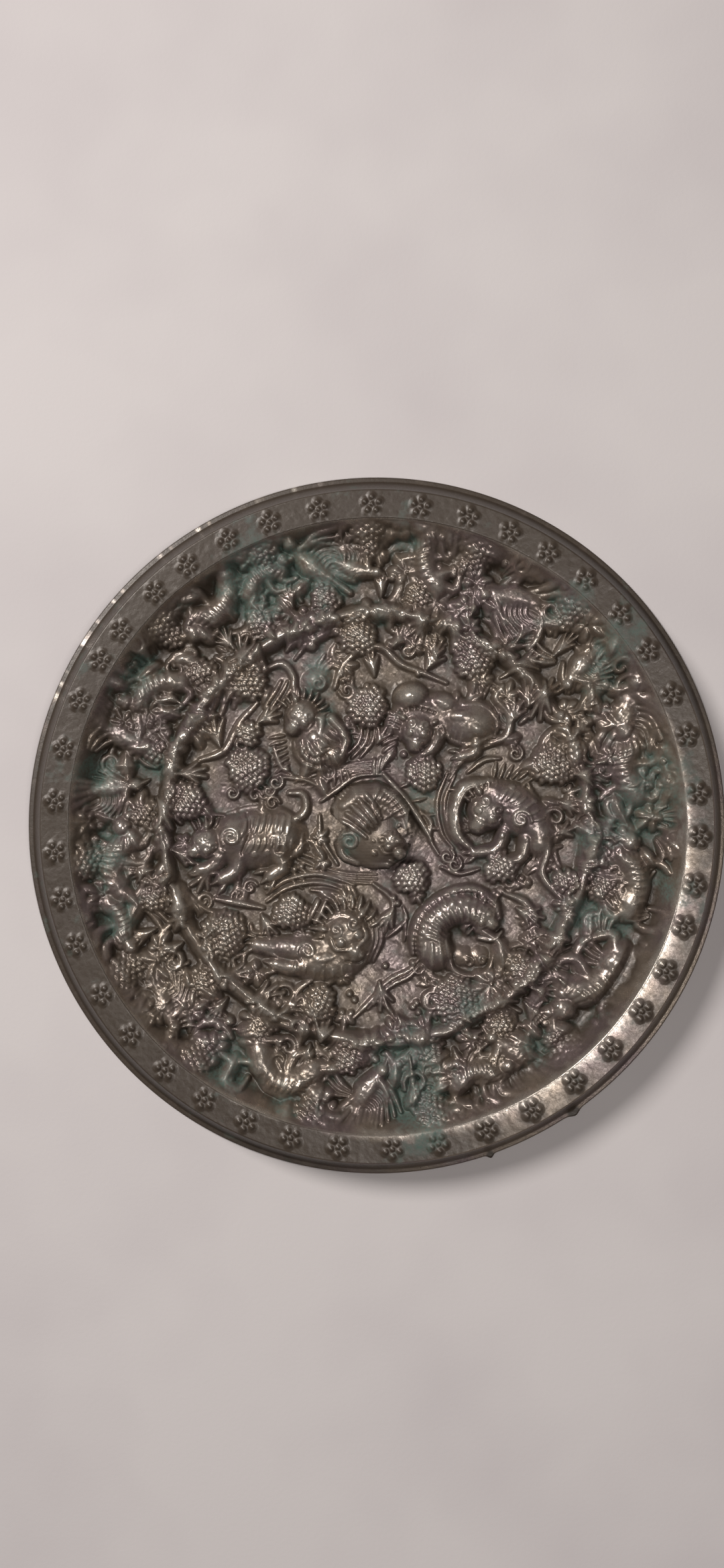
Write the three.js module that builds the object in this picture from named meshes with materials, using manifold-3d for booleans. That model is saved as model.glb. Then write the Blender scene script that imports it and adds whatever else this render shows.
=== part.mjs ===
// A round bronze mirror with beasts and grapevines on its back, cast in one piece. It lies on its
// polished face. Z is up, the origin is at the centre of the face, and all lengths are millimetres.
import * as THREE from 'three';
import { mergeVertices } from 'three/addons/utils/BufferGeometryUtils.js';
import Module from 'manifold-3d';

const wasm = await Module();
wasm.setup();

// The disc and its rim
const faceRadius = 84; // the polished face, out to the edge of the flange
const flangeThickness = 1.4; // the thin edge all round
const flangeWidth = 1.3; // how far the flange stands out from the foot of the wall
const wallLean = 3.5; // how far the outer wall leans in on its way up
const wallHollow = 0.5; // how deeply the wall is hollowed
const rimHeight = 13; // from the polished face to the flat band
const rimBevel = 0.4; // the rounded outer edge of the band
const bandWidth = 6.8; // the flat band with the rosettes
const slopeWidth = 6; // the sloping inside of the rim
const plateThickness = 4.5; // from the polished face to the ground of both fields
const discSides = 54; // facets round the disc

// The ridge between the two fields
const ridgeRadius = 50.6;
const ridgeWidth = 5.4;
const ridgeRise = 4.3; // above the ground

// The flowers on the flat band
const rosetteCount = 42;
const rosetteWidth = 5.4; // across the band
const rosetteGap = 1.4; // between two neighbours
const rosetteRise = 0.6; // above the band

// The knob, a crouching beast that stands over the cord tunnel
const knobLength = 22;
const knobWidth = 14;
const knobRise = 10.5;
const knobTurn = -62; // degrees, the way its head points
const tunnelWidth = 7;
const tunnelRise = 5.4;

// The beasts, birds, grapes and leaves
const beastLength = 26;
const beastRise = 5.6;
const creatureLength = 16; // the smaller beasts of the outer field
const creatureRise = 3.6;
const birdLength = 14;
const birdRise = 3.4;
const bunchLength = 10.8; // a bunch of grapes in the inner field
const bunchRise = 4;
const smallBunchLength = 8.6; // a bunch in the outer field
const smallBunchRise = 3.6;
const leafLength = 9;
const leafRise = 1.8;
const vineWidth = 1.6;
const vineRise = 1.6;
const rootDepth = 0.8; // how far a raised form runs down into what it stands on
const lowRootDepth = 0.2; // the same for leaves and flowers

const wallFoot = faceRadius - flangeWidth;
const bandOuter = wallFoot - wallLean;
const bandInner = bandOuter - bandWidth;
const outerFieldEnd = bandInner - slopeWidth;
const outerFieldStart = ridgeRadius + ridgeWidth / 2;
const innerFieldEnd = ridgeRadius - ridgeWidth / 2;

const bronze = new THREE.MeshStandardMaterial({ color: 0x4c443f, roughness: 0.5, metalness: 0.75 });

// A place on the back, from an angle in degrees, counted from +X towards +Y, and a radius
function polar(angle, radius) {
  const turn = THREE.MathUtils.degToRad(angle);
  return new THREE.Vector2(radius * Math.cos(turn), radius * Math.sin(turn));
}

const innerPlace = (angle, share) => polar(angle, share * innerFieldEnd);
const outerPlace = (angle, share) =>
  polar(angle, THREE.MathUtils.lerp(outerFieldStart, outerFieldEnd, share));

// A place given along and across a heading, in millimetres from an origin
function offset(origin, heading, along, across) {
  const turn = THREE.MathUtils.degToRad(heading);
  return new THREE.Vector2(along, across).rotateAround(new THREE.Vector2(), turn).add(origin);
}

// A closed three.js geometry as a solid for joining and cutting
function solidOf(geometry) {
  const bare = geometry.index ? geometry.toNonIndexed() : geometry.clone();
  bare.deleteAttribute('normal');
  bare.deleteAttribute('uv');
  const merged = mergeVertices(bare, 1e-4);
  return new wasm.Manifold(
    new wasm.Mesh({
      numProp: 3,
      vertProperties: merged.attributes.position.array,
      triVerts: new Uint32Array(merged.index.array),
    }),
  );
}

// A solid as a three.js geometry
function geometryOf(solid) {
  const mesh = solid.getMesh();
  return new THREE.BufferGeometry()
    .setAttribute('position', new THREE.BufferAttribute(mesh.vertProperties, 3))
    .setIndex(new THREE.BufferAttribute(mesh.triVerts, 1));
}

const joined = (solids) => solids.reduce((whole, next) => whole.add(next));

// A closed skin over stacked loops of equal length, each counterclockwise seen from the end of the
// stack. Fans close both ends, and tipRise lifts the middle of the last one above its loop.
function loftOf(loops, tipRise = 0) {
  const sides = loops[0].length;
  const middle = (loop) =>
    loop.reduce((sum, p) => sum.add(p), new THREE.Vector3()).divideScalar(sides);
  const tip = middle(loops.at(-1)).add(new THREE.Vector3(0, 0, tipRise));
  const points = [...loops.flat(), middle(loops[0]), tip];
  const firstHub = points.length - 2;
  const lastHub = points.length - 1;
  const lastLoop = (loops.length - 1) * sides;
  const index = [];
  for (let k = 0; k < sides; k++) {
    const next = (k + 1) % sides;
    for (let start = 0; start < lastLoop; start += sides) {
      index.push(start + k, start + next, start + sides + next);
      index.push(start + k, start + sides + next, start + sides + k);
    }
    index.push(firstHub, next, k, lastHub, lastLoop + k, lastLoop + next);
  }
  return solidOf(new THREE.BufferGeometry().setFromPoints(points).setIndex(index));
}

// A rounded strand on the ground, along a curve through the given places. Its section is a half
// ellipse with a number of facets, and the swell, given at even steps, scales its width and rise.
function strand(places, width, rise, swell, facets = 2) {
  const route = new THREE.CatmullRomCurve3(
    places.map((p) => new THREE.Vector3(p.x, p.y, plateThickness)),
    false,
    'centripetal',
  );
  const loops = swell.map((size, i) => {
    const t = i / (swell.length - 1);
    const middle = route.getPoint(t);
    const way = route.getTangent(t);
    return Array.from({ length: facets + 1 }, (_, k) => {
      const angle = (Math.PI * k) / facets;
      const aside = (width / 2) * size * Math.cos(angle);
      const up = k % facets ? rise * size * Math.sin(angle) : -rootDepth;
      return middle.clone().add(new THREE.Vector3(-way.y * aside, way.x * aside, up));
    });
  });
  return loftOf(loops);
}

const evenSwell = [0.6, 1, 0.6];
const limbSwell = [1, 0.9, 0.55];
const torsoSwell = [0.75, 0.95, 1, 0.62];
const taperSwell = [1, 0.85, 0.4];
const knobSwell = [0.55, 0.92, 1, 0.96, 0.6];

// A dome with an oval foot. The foot may narrow towards its tip, and a lobed one swings in and out.
// The shoulder is where its side turns over to the top, as shares of the foot and of the rise. A
// dome without one is a low point.
function dome(place, size) {
  const { long, wide, rise, turn = 0, sides = 7, narrow = 0, lobe = 0 } = size;
  const { shoulder = [0.8, 0.68], base = plateThickness } = size;
  const ring = (share, height) =>
    Array.from({ length: sides }, (_, k) => {
      const angle = (2 * Math.PI * k) / sides;
      const swing = share * (1 - (k % 2) * lobe);
      const along = (long / 2) * swing * Math.cos(angle);
      const across = (wide / 2) * swing * Math.sin(angle) * (1 - narrow * Math.cos(angle));
      const at = offset(place, turn, along, across);
      return new THREE.Vector3(at.x, at.y, base + height);
    });
  if (!shoulder) return loftOf([ring(1, -lowRootDepth)], rise + lowRootDepth);
  return loftOf([ring(1, -rootDepth), ring(shoulder[0], rise * shoulder[1])], rise * (1 - shoulder[1]));
}

// A bunch of grapes: a bumpy dome with a heart-shaped foot. The tip points along turn.
const bunch = (place, turn, length, rise) =>
  dome(place, {
    long: length,
    wide: 0.84 * length,
    rise,
    turn,
    sides: 8,
    narrow: 0.35,
    lobe: 0.1,
    shoulder: [0.76, 0.74],
  });

// A lobed leaf with its stalk end at the place, pointing along turn
const leaf = (place, turn, length = leafLength) =>
  dome(offset(place, turn, length / 2, 0), {
    long: length,
    wide: 0.72 * length,
    rise: leafRise,
    turn,
    sides: 6,
    lobe: 0.25,
    shoulder: null,
  });

const vine = (...places) => strand(places, vineWidth, vineRise, evenSwell);

// A beast seen from its side. Its back is an arc whose middle lies at the place: heading there is
// turn, and bend is how far the back turns, to the left if positive. The legs are on the side that
// legSide names, 1 for the left. Every part is a share of the beast's own length. A small one has
// no ears, and two legs of it show.
function beast({ place, turn, bend, legSide, length, rise, small = false }) {
  const back = 0.56 * length;
  const at = (t, across) => {
    const turned = THREE.MathUtils.degToRad(bend * (t - 0.5)) / 2;
    const chord = back * (t - 0.5) * (turned ? Math.sin(turned) / turned : 1);
    const foot = offset(place, turn + (bend * (t - 0.5)) / 2, chord, 0);
    return offset(foot, turn + bend * (t - 0.5), 0, across * legSide * length);
  };
  const heading = (t) => turn + bend * (t - 0.5);
  const spine = [at(-0.08, 0), at(0.3, 0), at(0.7, 0), at(1.1, 0)];
  const torso = strand(spine, 0.44 * length, rise, torsoSwell, 3);
  const head = dome(at(1.27, 0.03), {
    long: 0.32 * length,
    wide: 0.28 * length,
    rise,
    turn: heading(1.3),
    sides: 6,
    narrow: 0.25,
  });
  const tailRoute = [at(0, 0), at(-0.3, -0.04), at(-0.28, -0.2), at(0, -0.26)];
  const tail = strand(tailRoute, 0.12 * length, rise * 0.6, taperSwell);
  const legs = [
    [at(0.95, 0.06), at(1.1, 0.23), at(1.3, 0.31)],
    [at(0.05, 0.06), at(-0.04, 0.25), at(0.16, 0.34)],
    [at(0.72, 0.08), at(0.74, 0.25), at(0.92, 0.34)],
    [at(0.26, 0.08), at(0.36, 0.24), at(0.54, 0.33)],
  ].map((route) => strand(route, 0.16 * length, rise * 0.66, limbSwell));
  const ear = { long: 0.1 * length, wide: 0.09 * length, rise: rise * 1.1, sides: 4, shoulder: null };
  const ears = [-0.075, 0.06].map((across) => dome(at(1.13, across), ear));
  return joined(small ? [torso, head, tail, ...legs.slice(0, 2)] : [torso, head, tail, ...ears, ...legs]);
}

// A bird with its wing spread to one side and its tail behind
function bird({ place, turn, wingSide, length, rise }) {
  const at = (along, across) => offset(place, turn, along * length, across * wingSide * length);
  const body = { long: 0.56 * length, wide: 0.34 * length, rise, turn, sides: 6 };
  const head = { long: 0.34 * length, wide: 0.24 * length, rise, turn, sides: 5, narrow: 0.5 };
  return joined([
    dome(at(0, 0), body),
    dome(at(0.36, -0.03), { ...head, shoulder: null }),
    strand([at(-0.2, 0), at(-0.45, -0.04), at(-0.62, -0.02)], 0.34 * length, rise * 0.5, [0.8, 1.1]),
    strand([at(0.1, 0.06), at(0, 0.26), at(-0.3, 0.42)], 0.36 * length, rise * 0.6, [1, 1, 0.4]),
  ]);
}

// The disc: one profile turned about the Z axis, with the flange, the hollowed wall, the band, the
// slope and the ridge. The wall is a straight line less a sine of its height.
function discSolid() {
  const wall = [0, 0.5, 1].map((t) => [
    THREE.MathUtils.lerp(wallFoot, bandOuter, t) - wallHollow * Math.sin(Math.PI * t),
    THREE.MathUtils.lerp(flangeThickness, rimHeight - rimBevel, t),
  ]);
  const slope = [0.3, 0.7, 1].map((t) => [
    bandInner - slopeWidth * t,
    rimHeight - (rimHeight - plateThickness) * Math.sin((Math.PI / 2) * t),
  ]);
  const ridge = [0.5, 0.25, 0, -0.25, -0.5].map((t) => [
    ridgeRadius + t * ridgeWidth,
    plateThickness + ridgeRise * Math.cos(Math.PI * t),
  ]);
  const profile = [
    [0, 0],
    [faceRadius, 0],
    [faceRadius, flangeThickness],
    ...wall,
    [bandOuter - rimBevel, rimHeight],
    [bandInner, rimHeight],
    ...slope,
    ...ridge,
    [0, plateThickness],
  ].map(([r, z]) => new THREE.Vector2(r, z));
  return solidOf(new THREE.LatheGeometry(profile, discSides).rotateX(Math.PI / 2));
}

// The five-petalled flowers, evenly spaced along the middle of the band
function rosettes() {
  const radius = (bandOuter + bandInner) / 2;
  const pitch = 360 / rosetteCount;
  const long = radius * THREE.MathUtils.degToRad(pitch) - rosetteGap;
  return Array.from({ length: rosetteCount }, (_, k) => {
    const angle = (k + 0.8) * pitch;
    return dome(polar(angle, radius), {
      long: rosetteWidth,
      wide: long,
      rise: rosetteRise,
      turn: angle,
      sides: 10,
      lobe: 0.24,
      shoulder: null,
      base: rimHeight,
    });
  });
}

// The knob: haunches, shoulders, paws, head and a curled tail around a high back, with the arched
// cord tunnel through it along X. Its foot is flat, at the level of the ground.
function knobSolid() {
  const place = new THREE.Vector2(-1.5, -0.8);
  const at = (along, across) => offset(place, knobTurn, along * knobLength, across * knobWidth);
  const part = (along, across, long, wide, rise, sides = 7) =>
    dome(at(along, across), {
      long: long * knobLength,
      wide: wide * knobWidth,
      rise: rise * knobRise,
      turn: knobTurn,
      sides,
    });
  const spine = [at(-0.42, 0), at(-0.15, 0), at(0.15, 0), at(0.34, 0)];
  const body = strand(spine, 0.92 * knobWidth, knobRise, knobSwell, 5);
  const pairs = [-1, 1].flatMap((side) => [
    part(-0.27, 0.3 * side, 0.36, 0.42, 0.72), // haunch
    part(0.22, 0.3 * side, 0.28, 0.38, 0.7), // shoulder
    part(0.4, 0.36 * side, 0.17, 0.26, 0.3, 5), // front paw
    part(0.3, 0.2 * side, 0.1, 0.16, 0.95, 4), // ear
  ]);
  const head = part(0.36, 0, 0.3, 0.52, 0.86);
  const muzzle = part(0.47, 0, 0.16, 0.3, 0.55);
  const tail = strand(
    [at(-0.38, 0), at(-0.52, 0.12), at(-0.5, 0.42), at(-0.34, 0.5)],
    0.2 * knobWidth,
    0.4 * knobRise,
    taperSwell,
  );
  const arch = new THREE.Shape()
    .moveTo(-tunnelWidth / 2, -2 * rootDepth)
    .lineTo(tunnelWidth / 2, -2 * rootDepth)
    .lineTo(tunnelWidth / 2, tunnelRise - tunnelWidth / 2)
    .absarc(0, tunnelRise - tunnelWidth / 2, tunnelWidth / 2, 0, Math.PI);
  const reach = { depth: 2 * knobLength, bevelEnabled: false, curveSegments: 6 };
  const tunnel = new THREE.ExtrudeGeometry(arch, reach)
    .translate(0, 0, -knobLength)
    .rotateX(Math.PI / 2)
    .rotateZ(Math.PI / 2)
    .translate(place.x, place.y, plateThickness);
  const aboveGround = new THREE.BoxGeometry(4 * knobLength, 4 * knobLength, 4 * knobRise)
    .translate(0, 0, plateThickness + 2 * knobRise);
  return joined([body, ...pairs, head, muzzle, tail])
    .intersect(solidOf(aboveGround))
    .subtract(solidOf(tunnel));
}

// Each inner beast: angle and share of the inner field, heading, bend of the back and leg side
const innerBeasts = [
  [184, 0.64, 184, 24, 1],
  [126, 0.56, 112, 105, 1],
  [53, 0.68, 176, 30, 1],
  [0, 0.7, 158, 60, 1],
  [307, 0.6, 25, -110, -1],
  [248, 0.62, 40, 110, 1],
];

// Each inner bunch: angle, share of the inner field, heading of its tip and size
const innerBunches = [
  [131, 0.9, -20, 1.1],
  [95, 0.92, 270, 0.9],
  [60, 0.93, 250, 1],
  [18, 0.9, 200, 1],
  [94, 0.62, 90, 0.62],
  [49, 0.36, 30, 0.6],
  [157, 0.72, 150, 0.8],
  [173, 0.93, 0, 0.72],
  [215, 0.92, 40, 1],
  [226, 0.66, 210, 0.8],
  [251, 0.92, 75, 1],
  [294, 0.92, 110, 1],
  [303, 0.36, 300, 0.6],
  [336, 0.64, 340, 0.7],
  [340, 0.92, 160, 0.7],
];

// Each leaf of the inner field: angle, share and heading
const innerLeaves = [
  [37, 0.82, 20],
  [33, 0.98, 300],
  [152, 0.8, 60],
  [142, 0.66, 200],
  [206, 0.46, 230],
  [278, 0.5, 60],
  [272, 0.88, 90],
  [328, 0.78, 330],
  [234, 0.86, 320],
  [81, 0.84, 60],
  [110, 0.92, 300],
];

// Vines of the inner field, each through places given as angle and share
const innerVines = [
  [[24, 0.4], [32, 0.56], [36, 0.74]],
  [[9, 0.8], [18, 1.02], [27, 0.9], [24, 0.78]],
  [[214, 0.66], [224, 0.42], [252, 0.34], [268, 0.52]],
  [[284, 0.7], [278, 0.84], [286, 0.98]],
  [[88, 0.5], [86, 0.7], [94, 0.8], [102, 0.7]],
];

// Bunches of the outer field: angle, share across the field, heading of the tip relative to outwards
const rimBunches = [48, 69, 92, 113, 137, 188, 210, 232, 258, 282, 310];
const ridgeBunches = [80, 102, 121, 138, 161, 177, 198, 222, 240, 262, 283, 302, 328, 345, 8];

const outerLeaves = [
  [109, 0.12],
  [130, 0.12],
  [66, 0.2],
  [58, 0.1],
  [208, 0.1],
  [252, 0.12],
  [38, 0.08],
  [152, 0.1],
];

// The creatures of the outer field: angle, share, heading relative to outwards, and bend
const outerBeasts = [
  [128, 0.62, 100, 60],
  [35, 0.5, -60, -40],
  [8, 0.62, 80, 70],
  [190, 0.7, -80, 60],
  [248, 0.6, 90, -60],
  [328, 0.6, -110, 40],
  [80, 0.6, 20, 40],
  [292, 0.55, 80, 50],
];
const outerBirds = [
  [162, 0.78, 150, 1],
  [104, 0.62, 30, -1],
  [59, 0.58, 120, 1],
  [22, 0.72, 60, -1],
  [173, 0.6, 200, -1],
  [219, 0.7, 60, 1],
  [270, 0.62, 130, -1],
  [302, 0.62, 200, 1],
  [347, 0.5, 110, -1],
  [148, 0.58, 80, 1],
];

function innerField() {
  const beasts = innerBeasts.map(([angle, share, turn, bend, legSide]) =>
    beast({ place: innerPlace(angle, share), turn, bend, legSide, length: beastLength, rise: beastRise }),
  );
  const bunches = innerBunches.map(([angle, share, turn, size]) =>
    bunch(innerPlace(angle, share), turn, size * bunchLength, bunchRise),
  );
  const leaves = innerLeaves.map(([angle, share, turn]) => leaf(innerPlace(angle, share), turn));
  const vines = innerVines.map((route) => vine(...route.map(([angle, share]) => innerPlace(angle, share))));
  return [...beasts, ...bunches, ...leaves, ...vines];
}

function outerField() {
  const small = (angle, share, turn, rise) =>
    bunch(outerPlace(angle, share), turn, smallBunchLength, rise);
  const bunches = [
    ...rimBunches.map((angle) => small(angle, 0.92, angle + 180, smallBunchRise + 1)),
    ...ridgeBunches.map((angle) => small(angle, 0.08, angle, smallBunchRise)),
  ];
  const leaves = outerLeaves.map(([angle, share]) => leaf(outerPlace(angle, share), angle, 0.8 * leafLength));
  const beasts = outerBeasts.map(([angle, share, turn, bend]) =>
    beast({
      place: outerPlace(angle, share),
      turn: angle + turn,
      bend,
      legSide: Math.sign(bend),
      length: creatureLength,
      rise: creatureRise,
      small: true,
    }),
  );
  const birds = outerBirds.map(([angle, share, turn, wingSide]) =>
    bird({
      place: outerPlace(angle, share),
      turn: angle + turn,
      wingSide,
      length: birdLength,
      rise: birdRise,
    }),
  );
  return [...bunches, ...leaves, ...beasts, ...birds];
}

// The mirror is one casting. Its knob is parted from it at the ground, where it stands flat on it.
const mirror = new THREE.Mesh(
  geometryOf(joined([discSolid(), ...rosettes(), ...innerField(), ...outerField()])),
  bronze,
);
mirror.name = 'mirror';
const knob = new THREE.Mesh(geometryOf(knobSolid()), bronze);
knob.name = 'knob';

const group = new THREE.Group();
group.add(mirror, knob);
export default group;
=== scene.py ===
# A round bronze mirror that lies on its polished face and shows its cast back: beasts and
# grapevines in two fields, a ridge between them, a rim with flowers on its flat band, and a knob
# in the shape of a crouching beast. Places and sizes of the carving are millimetres.
import math
import bpy
import numpy as np
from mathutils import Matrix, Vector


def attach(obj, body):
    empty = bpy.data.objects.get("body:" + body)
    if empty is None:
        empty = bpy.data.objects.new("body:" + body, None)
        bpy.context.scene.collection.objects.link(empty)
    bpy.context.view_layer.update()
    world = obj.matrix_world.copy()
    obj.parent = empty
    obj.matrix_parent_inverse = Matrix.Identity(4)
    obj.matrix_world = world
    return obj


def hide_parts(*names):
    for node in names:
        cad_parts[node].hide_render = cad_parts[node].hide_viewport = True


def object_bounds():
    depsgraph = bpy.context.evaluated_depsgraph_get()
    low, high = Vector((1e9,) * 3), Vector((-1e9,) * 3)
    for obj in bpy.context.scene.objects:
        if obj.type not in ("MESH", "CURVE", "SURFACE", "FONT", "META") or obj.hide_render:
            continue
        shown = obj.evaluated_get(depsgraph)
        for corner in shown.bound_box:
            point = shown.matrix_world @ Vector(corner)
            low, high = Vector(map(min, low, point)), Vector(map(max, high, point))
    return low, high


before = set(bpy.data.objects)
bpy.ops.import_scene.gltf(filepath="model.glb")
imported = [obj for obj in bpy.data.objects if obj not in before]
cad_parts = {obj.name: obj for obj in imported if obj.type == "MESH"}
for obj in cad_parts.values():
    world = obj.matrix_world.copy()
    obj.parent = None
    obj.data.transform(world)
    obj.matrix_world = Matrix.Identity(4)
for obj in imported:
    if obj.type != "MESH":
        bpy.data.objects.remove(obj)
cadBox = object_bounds()
cadLow, cadHigh = (np.array(corner) * 1000 for corner in cadBox)
metre = 0.001  # a millimetre of the carving in metres

disc = {
    "faceRadius": min(cadHigh[:2] - cadLow[:2]) / 2 - 0.02,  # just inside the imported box
    "topHeight": cadHigh[2] - 0.05,  # of the knob, the highest point
    "flangeThickness": 1.4,
    "flangeWidth": 1.3,
    "wallLean": 3.5,
    "wallHollow": 0.5,
    "rimHeight": 13.0,
    "rimBevel": 0.5,
    "bandWidth": 6.8,
    "slopeWidth": 6.0,
    "plate": 4.5,  # the ground of both fields
    "ridgeRadius": 50.6,
    "ridgeWidth": 5.4,
    "ridgeRise": 4.3,
}
wallFoot = disc["faceRadius"] - disc["flangeWidth"]
bandOuter = wallFoot - disc["wallLean"]
bandInner = bandOuter - disc["bandWidth"]
fieldEnd = bandInner - disc["slopeWidth"]

view = {
    "eye": (-3.6, 10.0, 400.0),  # the camera looks straight down from here
    "frameWidth": 174.8,  # of the picture, on the plane of the face
    "drawIn": 0.98,  # the relief stands nearer to the eye than the face, so it looks 2% larger
}


def seen(*places):
    # places read from above on the plane of the face, drawn in to the height of the relief
    return np.array(places, float) * view["drawIn"]


def polar(*places):
    # places given as angle in degrees, counted from +X towards +Y, and radius
    angles, radii = np.radians([p[0] for p in places]), np.array([p[1] for p in places], float)
    return np.stack((radii * np.cos(angles), radii * np.sin(angles)), axis=1)


def towards(turn):
    # the step of length 1 along a heading in degrees: its cosine and its sine
    return np.array((math.cos(math.radians(turn)), math.sin(math.radians(turn))))


def degreesApart(angle, middle):
    # how far an angle lies from another one, the shorter way round
    return np.abs((angle - middle + 180) % 360 - 180)


def curveThrough(points, steps):
    # Catmull-Rom: each span is a cubic whose end slopes are half the chord of the neighbours
    p = np.asarray(points, float)
    p = np.vstack((2 * p[0] - p[1], p, 2 * p[-1] - p[-2]))
    t = np.linspace(0, len(p) - 3, steps)
    i = np.minimum(t.astype(int), len(p) - 4)
    f = (t - i)[:, None]
    a, b, c, d = p[i], p[i + 1], p[i + 2], p[i + 3]
    return 0.5 * (2 * b + (c - a) * f + (2 * a - 5 * b + 4 * c - d) * f**2 + (3 * b - a - 3 * c + d) * f**3)


def blurred(field, reach):
    # a Gaussian blur of that reach in cells, first along one axis and then along the other
    half = max(1, int(3 * reach + 0.5))
    weights = np.exp(-0.5 * (np.arange(-half, half + 1) / reach) ** 2)
    weights /= weights.sum()
    for axis in (0, 1):
        pad = [(half, half) if k == axis else (0, 0) for k in (0, 1)]
        wide = np.pad(field, pad, mode="edge")
        size = field.shape[axis]
        field = sum(w * np.take(wide, range(k, k + size), axis=axis) for k, w in enumerate(weights))
    return field


def smoothNoise(shape, cell, seed):
    # random values on a coarse lattice, with cubic easing between them, from -1 to 1
    rng = np.random.default_rng(seed)
    lattice = rng.uniform(-1, 1, (int(shape[0] / cell) + 3, int(shape[1] / cell) + 3))
    u, v = np.arange(shape[0]) / cell, np.arange(shape[1]) / cell
    i, j = u.astype(int), v.astype(int)
    fu, fv = (u - i)[:, None], (v - j)[None, :]
    fu, fv = fu * fu * (3 - 2 * fu), fv * fv * (3 - 2 * fv)
    low = lattice[np.ix_(i, j)] * (1 - fu) + lattice[np.ix_(i + 1, j)] * fu
    high = lattice[np.ix_(i, j + 1)] * (1 - fu) + lattice[np.ix_(i + 1, j + 1)] * fu
    return low * (1 - fv) + high * fv


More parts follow.
